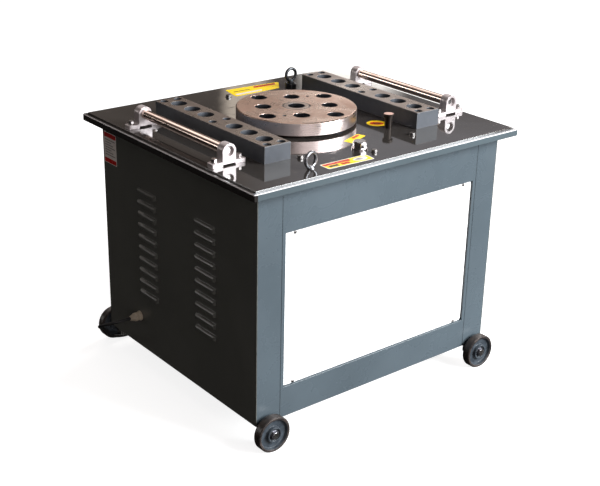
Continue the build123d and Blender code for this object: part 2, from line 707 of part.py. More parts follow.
# ---- working disc and spindle --------------------------------------------
def disc_frame(u, v):
    """A point of the disc's own grid, in the table's frame."""
    turn = math.radians(DISC_GRID_ANGLE)
    return (SPINDLE_X + u * math.cos(turn) - v * math.sin(turn),
            SPINDLE_Y + u * math.sin(turn) + v * math.cos(turn))


def grid_spots():
    """The eight outer pin holes of the disc, on a square grid."""
    return [disc_frame(i * DISC_HOLE_PITCH, j * DISC_HOLE_PITCH)
            for i in (-1, 0, 1) for j in (-1, 0, 1) if i or j]


def screw_spots():
    """Two locking screws that sit half in the disc and half in the spindle's head."""
    return [disc_frame(side * SPINDLE_HEAD_RADIUS, 0.0) for side in (-1, 1)]


def pin_hole(x, y):
    """A pin hole right through the disc, with a broken top edge."""
    rim = Pos(x, y, DISC_TOP - DISC_HOLE_CHAMFER / 2) * Cone(
        DISC_HOLE_RADIUS, DISC_HOLE_RADIUS + DISC_HOLE_CHAMFER, DISC_HOLE_CHAMFER)
    return post(DISC_HOLE_RADIUS, DISC_BOTTOM, DISC_TOP, x, y) + rim


def make_disc():
    disc = post(DISC_RADIUS, DISC_BOTTOM, DISC_TOP, SPINDLE_X, SPINDLE_Y)
    disc = chamfer(disc.edges().sort_by(Axis.Z)[-1], DISC_TOP_CHAMFER)
    disc = chamfer(disc.edges().sort_by(Axis.Z)[0], DISC_BOTTOM_CHAMFER)
    holes = [pin_hole(*spot) for spot in grid_spots()]
    holes.append(post(SPINDLE_HEAD_RADIUS, DISC_BOTTOM, DISC_TOP, SPINDLE_X, SPINDLE_Y))
    holes += [post(DISC_TAP_RADIUS, DISC_TOP - DISC_TAP_DEPTH, DISC_TOP, *disc_frame(*spot))
              for spot in DISC_TAP_HOLES]
    holes += [post(DISC_SCREW_RADIUS, DISC_TOP - DISC_SCREW_DEPTH, DISC_TOP, *spot)
              for spot in screw_spots()]
    return disc - holes


def make_disc_screws():
    screws = []
    top = DISC_TOP - 1.5
    for x, y in screw_spots():
        key = extrude(RegularPolygon(2.4, 6), 4)
        screw = post(DISC_SCREW_RADIUS, DISC_TOP - DISC_SCREW_DEPTH, top, x, y)
        screws.append(screw - Pos(x, y, top - 4) * key)
    return group(screws)


def make_spindle():
    """The main shaft, bottom to top: nut end, lower seat, gear seat, upper seat, flange, head."""
    shaft = stepped(SPINDLE_STEPS, SPINDLE_X, SPINDLE_Y)
    cuts = [post(CORE_BORE_RADIUS, DISC_TOP - CORE_BORE_DEPTH, DISC_TOP, SPINDLE_X, SPINDLE_Y)]
    cuts += [post(DISC_SCREW_RADIUS, DISC_TOP - DISC_SCREW_DEPTH, DISC_TOP, *spot)
             for spot in screw_spots()]
    return shaft - cuts


def make_bull_gear():
    wheel = gear(MODULE_SLOW, SLOW_GEAR_TEETH, *BULL_GEAR, SPINDLE_X, SPINDLE_Y, SLOW_SHAFT_ANGLE)
    pocket = ring(112, 58, BULL_GEAR[0], BULL_GEAR[0] + 10, SPINDLE_X, SPINDLE_Y)
    hub = post(52, 553, BULL_GEAR[0] + 1, SPINDLE_X, SPINDLE_Y)
    bore = post(34.0, 553, BULL_GEAR[1], SPINDLE_X, SPINDLE_Y)
    holes = [Pos(SPINDLE_X, SPINDLE_Y, 0) * Rot(0, 0, 60 * i + 30)
             * post(18, *BULL_GEAR, 85) for i in range(6)]
    return wheel - pocket + hub - bore - holes


def make_second_shaft():
    """The shaft between the two gear pairs, with the slow pinion cut in it."""
    pinion = gear(MODULE_SLOW, SLOW_PINION_TEETH, *SLOW_PINION, SECOND_X, SECOND_Y,
                  gap_turn(SLOW_PINION_TEETH, SLOW_SHAFT_ANGLE + 180.0))
    for step in SECOND_STEPS:
        pinion = pinion + post(*step, SECOND_X, SECOND_Y)
    return pinion


def make_second_gear():
    wheel = gear(MODULE_FAST, FAST_GEAR_TEETH, *FAST_GEAR, SECOND_X, SECOND_Y, FAST_SHAFT_ANGLE)
    pocket = ring(86, 40, FAST_GEAR[1] - 7, FAST_GEAR[1], SECOND_X, SECOND_Y)
    hub = post(34, 552, FAST_GEAR[0] + 1, SECOND_X, SECOND_Y)
    bore = post(17.0, 552, FAST_GEAR[1], SECOND_X, SECOND_Y)
    holes = [Pos(SECOND_X, SECOND_Y, 0) * Rot(0, 0, 72 * i)
             * post(14, *FAST_GEAR, 63) for i in range(5)]
    return wheel - pocket + hub - bore - holes


def make_input_shaft():
    pinion = gear(MODULE_FAST, FAST_PINION_TEETH, *FAST_PINION, INPUT_X, INPUT_Y,
                  gap_turn(FAST_PINION_TEETH, FAST_SHAFT_ANGLE + 180.0))
    for step in INPUT_STEPS:
        pinion = pinion + post(*step, INPUT_X, INPUT_Y)
    return pinion


# ---- gear case -----------------------------------------------------------
def case_bolt_places(inset):
    """Bolt places round the edge of the case, inside or outside its wall."""
    x0 = CASE_X[0] + inset
    x1 = CASE_X[1] - inset
    y0 = CASE_Y[0] + inset
    y1 = CASE_Y[1] - inset
    spots = [(x0 + (x1 - x0) * part, y) for part in (0.02, 0.34, 0.66, 0.98) for y in (y0, y1)]
    spots += [(x, y0 + (y1 - y0) * part) for part in (0.33, 0.67) for x in (x0, x1)]
    return spots


def make_gear_case():
    x0, x1 = CASE_X
    y0, y1 = CASE_Y
    top = block(x0 - CASE_FLANGE, x1 + CASE_FLANGE, y0 - CASE_FLANGE, y1 + CASE_FLANGE,
                TABLE_BOTTOM - CASE_TOP_WALL, TABLE_BOTTOM)
    top = fillet(top.edges().filter_by(Axis.Z), 20)
    low = CASE_BOTTOM + COVER_PLATE
    wall = block(x0, x1, y0, y1, low, TABLE_BOTTOM - CASE_TOP_WALL)
    wall = fillet(wall.edges().filter_by(Axis.Z), CASE_CORNER)
    room = block(x0 + CASE_WALL, x1 - CASE_WALL, y0 + CASE_WALL, y1 - CASE_WALL, low,
                 TABLE_BOTTOM - CASE_TOP_WALL)
    room = fillet(room.edges().filter_by(Axis.Z), CASE_CORNER - CASE_WALL)
    case = top + (wall - room)
    for x, y, shaft, outer, z0, z1 in BEARINGS[::2]:
        case = case + post(outer + 12, z0, TABLE_BOTTOM - 1, x, y)
        case = case - post(outer, z0, z1, x, y) - post(outer - 6, z0, TABLE_BOTTOM, x, y)
    flange_holes = [post(5.0, TABLE_BOTTOM - CASE_TOP_WALL, TABLE_BOTTOM, x, y)
                    for x, y in case_bolt_places(-CASE_FLANGE / 2)]
    return case - flange_holes


def make_case_cover():
    x0, x1 = CASE_X
    y0, y1 = CASE_Y
    plate = block(x0, x1, y0, y1, CASE_BOTTOM, CASE_BOTTOM + COVER_PLATE)
    plate = fillet(plate.edges().filter_by(Axis.Z), CASE_CORNER)
    for x, y, shaft, outer, z0, z1 in BEARINGS[1::2]:
        plate = plate + post(outer + 8, CASE_BOTTOM, z1, x, y)
        plate = plate - post(outer, z0, z1, x, y) - post(shaft + 1.5, CASE_BOTTOM, z0, x, y)
    holes = [post(4.0, CASE_BOTTOM, CASE_BOTTOM + COVER_PLATE, x, y)
             for x, y in case_bolt_places(CASE_WALL / 2 + 2)]
    return plate - holes


def make_bearings():
    """Ball bearings as plain rings: the running clearance is at the shaft."""
    return group([ring(outer, shaft + SHAFT_CLEARANCE, z0, z1, x, y)
                  for x, y, shaft, outer, z0, z1 in BEARINGS])


def make_inner_bolts():
    """The bolts that hang the gear case from the table and hold its cover, and the motor's."""
    flip = Rot(180, 0, 0)
    bolts = []
    for x, y in case_bolt_places(-CASE_FLANGE / 2):
        head_z = TABLE_BOTTOM - CASE_TOP_WALL
        bolts.append(Pos(x, y, head_z) * flip * hex_bolt(16, 6.5, 5.0, CASE_TOP_WALL))
    for x, y in case_bolt_places(CASE_WALL / 2 + 2):
        bolts.append(Pos(x, y, CASE_BOTTOM) * flip * hex_bolt(13, 5.5, 4.0, COVER_PLATE))
    for x, z in motor_foot_places():
        bolt = hex_bolt(16, 6.5, MOTOR_BOLT_RADIUS, MOTOR_FOOT_THICK + STAND_PLATE)
        bolts.append(Pos(MOTOR_X + x, MOTOR_Y + MOTOR_FOOT_FACE - MOTOR_FOOT_THICK, z)
                     * Rot(90, 0, 0) * bolt)
    return group(bolts)


# ---- belt drive and motor ------------------------------------------------
def pulley(radius, bore, x, y):
    """A two groove V pulley, turned from one outline."""
    z0, z1 = PULLEY_Z
    outline = [(bore, z0), (radius, z0)]
    for middle in GROOVES:
        outline += [(radius, middle - GROOVE_TOP_HALF),
                    (radius - GROOVE_DEPTH, middle - GROOVE_FLOOR_HALF),
                    (radius - GROOVE_DEPTH, middle + GROOVE_FLOOR_HALF),
                    (radius, middle + GROOVE_TOP_HALF)]
    outline += [(radius, z1), (bore, z1)]
    section = make_face(Plane.XZ * Polyline(*outline, close=True))
    return Pos(x, y, 0) * revolve(section, Axis.Z)


def make_driven_pulley():
    wheel = pulley(DRIVEN_PULLEY_RADIUS, 12.5, INPUT_X, INPUT_Y)
    z0, z1 = PULLEY_Z
    for low, high in ((z0, z0 + 18), (z1 - 18, z1)):
        wheel = wheel - ring(104, 32, low, high, INPUT_X, INPUT_Y)
    holes = [Pos(INPUT_X, INPUT_Y, 0) * Rot(0, 0, 72 * i) * post(22, z0, z1, 68)
             for i in range(5)]
    return wheel - holes


def make_belts():
    """Two V belts on the tangent path round both pulleys."""
    dx = INPUT_X - MOTOR_X
    dy = INPUT_Y - MOTOR_Y
    span = math.hypot(dx, dy)
    heading = math.atan2(dy, dx)
    small = MOTOR_PULLEY_RADIUS - GROOVE_DEPTH / 2
    large = DRIVEN_PULLEY_RADIUS - GROOVE_DEPTH / 2
    lean = math.acos((small - large) / span)

    def around(centre, radius, angle):
        return (centre[0] + radius * math.cos(angle), centre[1] + radius * math.sin(angle))

    motor = (MOTOR_X, MOTOR_Y)
    driven = (INPUT_X, INPUT_Y)
    start = around(motor, small, heading + lean)
    upper = around(driven, large, heading + lean)
    lower = around(driven, large, heading - lean)
    end = around(motor, small, heading - lean)
    path = Wire([
        Line(start, upper).edge(),
        ThreePointArc(upper, around(driven, large, heading), lower).edge(),
        Line(lower, end).edge(),
        ThreePointArc(end, around(motor, small, heading + math.pi), start).edge(),
    ])
    slope = (GROOVE_TOP_HALF - GROOVE_FLOOR_HALF) / GROOVE_DEPTH
    middle_half = (GROOVE_TOP_HALF + GROOVE_FLOOR_HALF) / 2 - BELT_CLEAR
    corners = [(depth, side * (middle_half + slope * depth))
               for depth, side in ((-BELT_HALF, -1), (BELT_HALF, -1), (BELT_HALF, 1), (-BELT_HALF, 1))]
    section = Polyline(*corners, close=True)
    away = Vector(math.cos(heading + lean), math.sin(heading + lean), 0)
    along = Vector(upper[0] - start[0], upper[1] - start[1], 0)
    plane = Plane(origin=(start[0], start[1], 0), x_dir=away, z_dir=along)
    belt = sweep(plane * make_face(section), path=path)
    return group([Pos(0, 0, z) * belt for z in GROOVES])


def motor_foot_places():
    """Across and height of the four feet, from the motor's axis and the floor."""
    return [(side * MOTOR_FOOT_SPREAD, MOTOR_FOOT_MIDDLE + row * MOTOR_FOOT_RISE)
            for side in (-1, 1) for row in (-1, 1)]


def motor_foot(x, z):
    """One foot: a pad against the stand and a thinner web back to the frame."""
    side = math.copysign(1, x)
    back = MOTOR_FOOT_FACE - MOTOR_FOOT_THICK
    pad = block(side * 62, side * 100, back, MOTOR_FOOT_FACE, z - MOTOR_FOOT_HALF,
                z + MOTOR_FOOT_HALF)
    web = block(side * 50, side * 68, 40, back + 2, z - MOTOR_FOOT_HALF + 4,
                z + MOTOR_FOOT_HALF - 4)
    hole = bar_y(MOTOR_BOLT_RADIUS, back, MOTOR_FOOT_FACE, x, z)
    return pad + web - post(MOTOR_FRAME_RADIUS - 3, *MOTOR_FRAME) - hole


def make_motor_body():
    """A finned foot mounted motor housing, standing shaft up with its feet to the back."""
    low, high = MOTOR_FRAME
    fin_length = 2 * (MOTOR_FIN_TIP - MOTOR_FRAME_RADIUS) - 8
    fins = Circle(MOTOR_FRAME_RADIUS)
    for i in range(MOTOR_FIN_COUNT):
        fin = Pos(MOTOR_FIN_TIP - fin_length / 2, 0) * Rectangle(fin_length, MOTOR_FIN_THICK)
        fins = fins + Rot(0, 0, 360 / MOTOR_FIN_COUNT * i) * fin
    body = Pos(0, 0, low) * extrude(fins, high - low)
    body = body + post(MOTOR_FLANGE_RADIUS, high, MOTOR_FRONT_FLANGE)
    body = body + post(48, MOTOR_FRONT_FLANGE, MOTOR_TOP)
    body = body + post(MOTOR_FLANGE_RADIUS, MOTOR_BACK_FLANGE, low)
    body = body - post(MOTOR_BORE_RADIUS, low, high)
    body = body - post(30, MOTOR_BACK_FLANGE, low) - post(22, high, MOTOR_TOP)
    for place in motor_foot_places():
        body = body + motor_foot(*place)
    return Pos(MOTOR_X, MOTOR_Y, 0) * body


def make_motor_inside():
    stator = ring(MOTOR_BORE_RADIUS, 47, 245, 405, MOTOR_X, MOTOR_Y)
    rotor = post(45, 250, 400, MOTOR_X, MOTOR_Y)
    shaft = post(MOTOR_SHAFT_RADIUS, *MOTOR_SHAFT_ENDS, MOTOR_X, MOTOR_Y)
    blade = block(20, 78, -1.5, 1.5, 165, 190)
    blades = [Pos(MOTOR_X, MOTOR_Y, 0) * Rot(0, 0, 360 / FAN_BLADES * i) * blade
              for i in range(FAN_BLADES)]
    fan = ring(30, MOTOR_SHAFT_RADIUS, 163, 192, MOTOR_X, MOTOR_Y) + blades
    return stator, rotor + shaft, fan


def make_fan_cover():
    inner = FAN_COVER_RADIUS - FAN_COVER_WALL
    cover = post(FAN_COVER_RADIUS, MOTOR_BOTTOM, MOTOR_BACK_FLANGE)
    cover = cover - post(inner, MOTOR_BOTTOM + FAN_COVER_WALL, MOTOR_BACK_FLANGE)
    cover = cover + ring(FAN_COVER_RADIUS, MOTOR_FLANGE_RADIUS + SHAFT_CLEARANCE,
                         MOTOR_BACK_FLANGE - 7, MOTOR_BACK_FLANGE)
    slots = [Rot(0, 0, 30 * i) * Pos(r, 0, MOTOR_BOTTOM + FAN_COVER_WALL / 2) * Cylinder(7, 4)
             for r in (30, 52, 74) for i in range(12)]
    return Pos(MOTOR_X, MOTOR_Y, 0) * (cover - slots)


def make_terminal_box():
    """The box for the motor's connections, on a seat that fits between the fins."""
    box = block(-52, 52, -152, -101, 300, 400)
    box = fillet(box.edges().filter_by(Axis.Y), 8)
    room = block(-46, 46, -146, -106, 306, 394)
    seat = block(-40, 40, -101, -90, 310, 390) - post(MOTOR_FRAME_RADIUS + 0.2, 300, 400)
    for i in range(MOTOR_FIN_COUNT):
        gap = Pos(MOTOR_FIN_TIP - 8, 0) * Box(17, MOTOR_FIN_THICK + 0.4, 120)
        seat = seat - Pos(0, 0, 350) * Rot(0, 0, 360 / MOTOR_FIN_COUNT * i) * gap
    return Pos(MOTOR_X, MOTOR_Y, 0) * group([box - room, seat.solids().sort_by(Axis.Y)[0]])


def make_motor_stand():
    """A welded stand on the cross channels: foot, upright plate and two gussets."""
    foot_low = CABINET_BOTTOM + PLATE + CHANNEL_HEIGHT
    foot_top = foot_low + STAND_PLATE
    back = MOTOR_FOOT_FACE + STAND_PLATE
    foot = block(-STAND_HALF, STAND_HALF, 71, 201, foot_low, foot_top)
    stand = foot + block(-STAND_HALF, STAND_HALF, MOTOR_FOOT_FACE, back, foot_top, STAND_TOP)
    outline = Polyline((back, foot_top), (STAND_REACH, foot_top), (back, STAND_GUSSET_TOP),
                       close=True)
    for x in (STAND_PLATE - STAND_HALF, STAND_HALF - 2 * STAND_PLATE):
        gusset = extrude(Plane.YZ * make_face(outline), STAND_PLATE)
        stand = stand + Pos(x, 0, 0) * gusset
    slot = extrude(SlotOverall(30, 2 * MOTOR_BOLT_RADIUS), 20, both=True)
    slots = [Pos(x, MOTOR_FOOT_FACE + STAND_PLATE / 2, z) * Rot(90, 0, 0) * slot
             for x, z in motor_foot_places()]
    return Pos(MOTOR_X, MOTOR_Y, 0) * (stand - slots)


def make_control_box():
    """The closed switchgear box on the right side's middle rail, with its lid."""
    x1 = FRAME_HALF - PLATE
    x0 = x1 - BOX_WIDTH
    y0, y1 = BOX_Y
    z0, z1 = BOX_Z
    shell = fillet(block(x0, x1, y0, y1, z0, z1).edges().filter_by(Axis.X), 6)
    room = block(x0 + BOX_WALL, x1 - BOX_WALL, y0 + BOX_WALL, y1 - BOX_WALL, z0 + BOX_WALL,
                 z1 - BOX_WALL)
    lid = block(x0 - BOX_LID, x0, y0 - 2, y1 + 2, z0 - 2, z1 + 2)
    return group([shell - room, lid])


# ---- wheels --------------------------------------------------------------
def wheel_places():
    return [(side * WHEEL_X, end) for end in (-1, 1) for side in (-1, 1)]


def wheel_middle(end):
    if end < 0:
        return CABINET_FRONT - FRONT_WHEEL_GAP - WHEEL_WIDTH / 2
    return CABINET_BACK + SHEET + REAR_WHEEL_GAP + WHEEL_WIDTH / 2


def hub_floor(end, side):
    """The bottom of a hub's recess, on its outer side for 1 and its inner side for -1."""
    return wheel_middle(end) + end * side * (WHEEL_WIDTH / 2 - HUB_RECESS + AXLE_PLAY)


def make_wheel(x, end):
    """A cast wheel with a thin web, a raised and recessed hub and a heavy rim."""
    half = WHEEL_WIDTH / 2
    floor = half - HUB_RECESS
    side = [(WHEEL_AXLE_RADIUS + WHEEL_CLEARANCE, floor), (HUB_RECESS_RADIUS, floor),
            (HUB_RECESS_RADIUS, half), (19.5, half), (21.5, 4), (37, 3.5), (40, half - 1),
            (45, half), (WHEEL_RADIUS, half - 3)]
    outline = [(radius, -height) for radius, height in side] + side[::-1]
    section = make_face(Plane.XZ * Polyline(*outline, close=True))
    wheel = revolve(section, Axis.Z)
    return Pos(x, wheel_middle(end), WHEEL_RADIUS) * Rot(90, 0, 0) * wheel


def make_axles():
    """Stub axles on short blocks welded below the corner posts."""
    axles = []
    for x, end in wheel_places():
        face = CABINET_FRONT if end < 0 else CABINET_BACK
        inner = face - end * 20
        hanger = block(x - 15, x + 15, inner, face, WHEEL_RADIUS - 14, CABINET_BOTTOM)
        tip = hub_floor(end, 1) + end * AXLE_TIP
        stop = hub_floor(end, -1)
        stub = bar_y(WHEEL_AXLE_RADIUS, min(face, tip), max(face, tip), x, WHEEL_RADIUS)
        collar = bar_y(AXLE_COLLAR_RADIUS, min(face, stop), max(face, stop), x, WHEEL_RADIUS)
        axles.append(hanger + stub + collar)
    return group(axles)


def make_axle_nuts():
    """A washer and a hexagon nut on each axle's end."""
    nuts = []
    for x, end in wheel_places():
        start = hub_floor(end, 1)
        turn = Rot(90, 0, 0) if end < 0 else Rot(-90, 0, 0)
        washer = ring(13.0, WHEEL_AXLE_RADIUS, 0, 1.6)
        nut = Pos(0, 0, 1.6) * (hexagon(20, 5.5) - post(WHEEL_AXLE_RADIUS, 0, 6))
        nuts += [Pos(x, start, WHEEL_RADIUS) * turn * piece for piece in (washer, nut)]
    return group(nuts)


# ---- power cable ---------------------------------------------------------
def route_radii(route):
    """Each corner's largest arc: 0.45 of its shorter run over the tangent of half the turn."""
    radii = []
    for before, corner, after in zip(route, route[1:], route[2:]):
        first = Vector(*corner) - Vector(*before)
        second = Vector(*after) - Vector(*corner)
        half_turn = math.radians(first.get_angle(second)) / 2
        radii.append(0.45 * min(first.length, second.length) / math.tan(half_turn))
    return radii


def cable_run(route):
    radii = route_radii(route)
    print("cable radii", [round(radius) for radius in radii])
    path = FilletPolyline(*route, radius=radii)
    start = Plane(origin=route[0], z_dir=Vector(*route[1]) - Vector(*route[0]))
    tube = sweep(start * Circle(CABLE_DIAMETER / 2), path=path)
    section = math.pi * CABLE_DIAMETER ** 2 / 4
    print("cable run", round(path.length), "mm, volume ratio",
          round(tube.volume / (section * path.length), 4))
    return tube


def make_cable():
    return group([cable_run(CABLE_ROUTE), cable_run(TAIL_ROUTE)])


def make_coil():
    """The outer shape of the put away turns, lying on the floor behind the cabinet."""
    coil = ring(COIL_MEAN_RADIUS + COIL_HALF_WIDTH, COIL_MEAN_RADIUS - COIL_HALF_WIDTH, 0,
                COIL_HEIGHT, COIL_X, COIL_Y)
    return fillet(coil.edges().filter_by(GeomType.CIRCLE), 4)


def make_gland():
    """A cable gland on the left side: lock nut flange, hexagon, dome and tapered nose."""
    start = -CABINET_HALF
    flange = bar_x(14.0, start - 3, start, GLAND_Y, GLAND_Z)
    nut = Pos(start - 3, GLAND_Y, GLAND_Z) * Rot(0, -90, 0) * extrude(RegularPolygon(13.5, 6), 9)
    dome = bar_x(12.0, start - 20, start - 12, GLAND_Y, GLAND_Z)
    nose = Pos(start - 20, GLAND_Y, GLAND_Z) * Rot(0, -90, 0) * Cone(
        11.5, 6.2, GLAND_LENGTH - 20, align=(Align.CENTER, Align.CENTER, Align.MIN))
    return flange + nut + dome + nose


def make_plug():
    """A round industrial plug that lies on the floor: boot, body, collar and pins."""
    def along(radius, start, end):
        return bar_x(radius, PLUG_X + start, PLUG_X + end, PLUG_Y, PLUG_RADIUS)

    boot = Pos(PLUG_X, PLUG_Y, PLUG_RADIUS) * Rot(0, 90, 0) * Cone(
        6.5, 15, 26, align=(Align.CENTER, Align.CENTER, Align.MIN))
    body = boot + along(20, 26, 74)
    collar = along(PLUG_RADIUS, 74, 82) + along(23.5, 82, 112) - along(20.5, 86, 112)
    pins = []
    for i in range(4):
        angle = math.radians(90 * i + 45)
        pins.append(Pos(0, 12 * math.cos(angle), 12 * math.sin(angle)) * along(3, 82, 108))
    return body + collar + pins


# ---- assembly ------------------------------------------------------------
frame_posts, frame_rails, base_channels = make_frame()
left_panel, right_panel, front_panel, rear_panel = make_panels()
table_base, table_cover = make_table()
motor_stator, motor_shaft, motor_fan = make_motor_inside()

nodes = {
    "corner_posts": frame_posts,
    "frame_rails": frame_rails,
    "base_channels": base_channels,
    "left_side_panel": left_panel,
    "right_side_panel": right_panel,
    "front_panel": front_panel,
    "rear_panel": rear_panel,
    "panel_screws": make_panel_screws(),
    "table_base": table_base,
    "table_cover": table_cover,
    "table_bolts": make_table_bolts(),
    "oil_filler_plug": make_filler_plug(),
    "locating_pin": make_locating_pin(),
    "lifting_eyes": make_lifting_eyes(),
    "left_socket_bar": socket_bar(-1),
    "right_socket_bar": socket_bar(1),
    "socket_bar_bolts": make_bar_bolts(),
    "left_roller_brackets": group([roller_bracket(-1, -1), roller_bracket(-1, 1)]),
    "right_roller_brackets": group([roller_bracket(1, -1), roller_bracket(1, 1)]),
    "bracket_bolts": make_bracket_bolts(),
    "left_roller_shaft": roller_shaft(-1),
    "right_roller_shaft": roller_shaft(1),
    "left_roller": roller_tube(-1),
    "right_roller": roller_tube(1),
    "working_disc": make_disc(),
    "disc_screws": make_disc_screws(),
    "spindle": make_spindle(),
    "bull_gear": make_bull_gear(),
    "second_shaft": make_second_shaft(),
    "second_gear": make_second_gear(),
    "input_shaft": make_input_shaft(),
    "bearings": make_bearings(),
    "gear_case": make_gear_case(),
    "gear_case_cover": make_case_cover(),
    "inner_bolts": make_inner_bolts(),
    "driven_pulley": make_driven_pulley(),
    "motor_pulley": pulley(MOTOR_PULLEY_RADIUS, MOTOR_SHAFT_RADIUS, MOTOR_X, MOTOR_Y),
    "drive_belts": make_belts(),
    "motor_body": make_motor_body(),
    "motor_stator": motor_stator,
    "motor_shaft": motor_shaft,
    "motor_fan": motor_fan,
    "motor_fan_cover": make_fan_cover(),
    "motor_terminal_box": make_terminal_box(),
    "motor_stand": make_motor_stand(),
    "control_box": make_control_box(),
    "wheel_axles": make_axles(),
    "axle_nuts": make_axle_nuts(),
    "cable_gland": make_gland(),
    "power_cable": make_cable(),
    "cable_coil": make_coil(),
    "power_plug": make_plug(),
}
for (x, end), name in zip(wheel_places(), ("front_left", "front_right", "rear_left", "rear_right")):
    nodes["wheel_" + name] = make_wheel(x, end)

for name, shape in nodes.items():
    export_step(shape, "parts/" + name + ".step")
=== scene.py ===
import math

import bpy
from mathutils import Matrix, Vector


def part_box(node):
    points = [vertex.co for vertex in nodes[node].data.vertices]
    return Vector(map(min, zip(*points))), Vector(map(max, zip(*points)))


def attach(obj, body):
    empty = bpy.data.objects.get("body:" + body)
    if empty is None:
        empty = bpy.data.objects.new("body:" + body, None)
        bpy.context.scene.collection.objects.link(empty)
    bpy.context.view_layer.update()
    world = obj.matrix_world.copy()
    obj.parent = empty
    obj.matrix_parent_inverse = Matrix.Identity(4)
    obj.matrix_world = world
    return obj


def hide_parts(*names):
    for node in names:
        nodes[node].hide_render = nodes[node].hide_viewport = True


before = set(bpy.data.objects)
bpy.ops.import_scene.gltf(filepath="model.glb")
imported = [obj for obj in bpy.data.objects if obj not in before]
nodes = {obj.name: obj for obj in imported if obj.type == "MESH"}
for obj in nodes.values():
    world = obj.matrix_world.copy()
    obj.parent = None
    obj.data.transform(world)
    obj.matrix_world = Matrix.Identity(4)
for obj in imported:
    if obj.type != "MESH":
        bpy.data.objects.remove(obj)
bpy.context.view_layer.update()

# ---- camera ---------------------------------------------------------------
CAMERA_PLACE = Vector((-1.8341, -2.2757, 1.5569))
CAMERA_AZIMUTH = math.radians(-39.08)
CAMERA_ELEVATION = math.radians(22.72)
CAMERA_ROLL = math.radians(1.28)
CAMERA_LENS = 69.69
SENSOR_WIDTH = 36.0


def make_camera():
    data = bpy.data.cameras.new("camera")
    data.lens = CAMERA_LENS
    data.sensor_width = SENSOR_WIDTH
    camera = bpy.data.objects.new("camera", data)
    bpy.context.scene.collection.objects.link(camera)
    level = math.cos(CAMERA_ELEVATION)
    back = Vector((math.sin(CAMERA_AZIMUTH) * level, -math.cos(CAMERA_AZIMUTH) * level,
                   math.sin(CAMERA_ELEVATION)))
    right = (-back).cross(Vector((0, 0, 1))).normalized()
    up = back.cross(right)
    turned_right = right * math.cos(CAMERA_ROLL) + up * math.sin(CAMERA_ROLL)
    turned_up = up * math.cos(CAMERA_ROLL) - right * math.sin(CAMERA_ROLL)
    turn = Matrix((turned_right, turned_up, back)).transposed().to_4x4()
    camera.matrix_world = Matrix.Translation(CAMERA_PLACE) @ turn
    bpy.context.scene.camera = camera


# ---- stage ----------------------------------------------------------------
def area_light(name, place, target, size, power, colour=(1, 1, 1)):
    """A soft box that looks at a target and isn't seen itself."""
    data = bpy.data.lights.new(name, "AREA")
    data.shape = "RECTANGLE"
    data.size, data.size_y = size
    data.energy = power
    data.color = colour
    light = bpy.data.objects.new(name, data)
    bpy.context.scene.collection.objects.link(light)
    light.location = place
    light.rotation_euler = (Vector(place) - Vector(target)).to_track_quat("Z", "Y").to_euler()
    light.visible_camera = False


# The studio's walls as the glossy faces see them: azimuth from +Y towards +X, elevation above
# the horizon, both as a centre and a half width in degrees, then strength and colour.
WINDOWS = (
    ((36.2, 1.1), (16.2, 1.6), 1.5, (1.0, 0.86, 0.72)),
    ((41.5, 2.2), (13.0, 2.6), 3.4, (1.0, 0.95, 0.9)),
    ((47.0, 9.0), (21.0, 5.0), 0.42, (0.95, 0.93, 1.0)),
    ((-43.0, 6.0), (11.0, 4.5), 6.0, (1.0, 0.97, 0.95)),
    ((15.0, 26.0), (40.0, 7.0), 2.2, (1.0, 0.9, 0.86)),
    ((160.0, 17.0), (14.0, 11.0), 4.5, (1.0, 0.92, 0.91)),
    ((-162.0, 17.0), (14.0, 11.0), 3.2, (1.0, 0.92, 0.91)),
    ((171.0, 5.0), (-16.0, 7.0), 2.4, (1.0, 0.94, 0.92)),
    ((112.0, 5.0), (-16.0, 7.0), 1.6, (1.0, 0.94, 0.92)),
    ((46.0, 5.0), (0.0, 3.0), 2.6, (1.0, 0.96, 0.93)),
)


WINDOW_SOFTNESS = 0.6
FLOOR_HALF = 14.0
FLOOR_GLOW = 0.84


def window(tree, azimuth, elevation, place):
    """1 inside a soft edged patch of the sky and 0 outside it."""
    (middle, half), (height, half_height) = place
    sides = []
    for angle, centre, reach in ((azimuth, middle, half), (elevation, height, half_height)):
        away = maths(tree, "ABSOLUTE", maths(tree, "SUBTRACT", angle, centre))
        sides.append(remap(tree, away, reach * (1 - WINDOW_SOFTNESS / 2),
                           reach * (1 + WINDOW_SOFTNESS / 2), 1, 0))
    return maths(tree, "MULTIPLY", *sides)


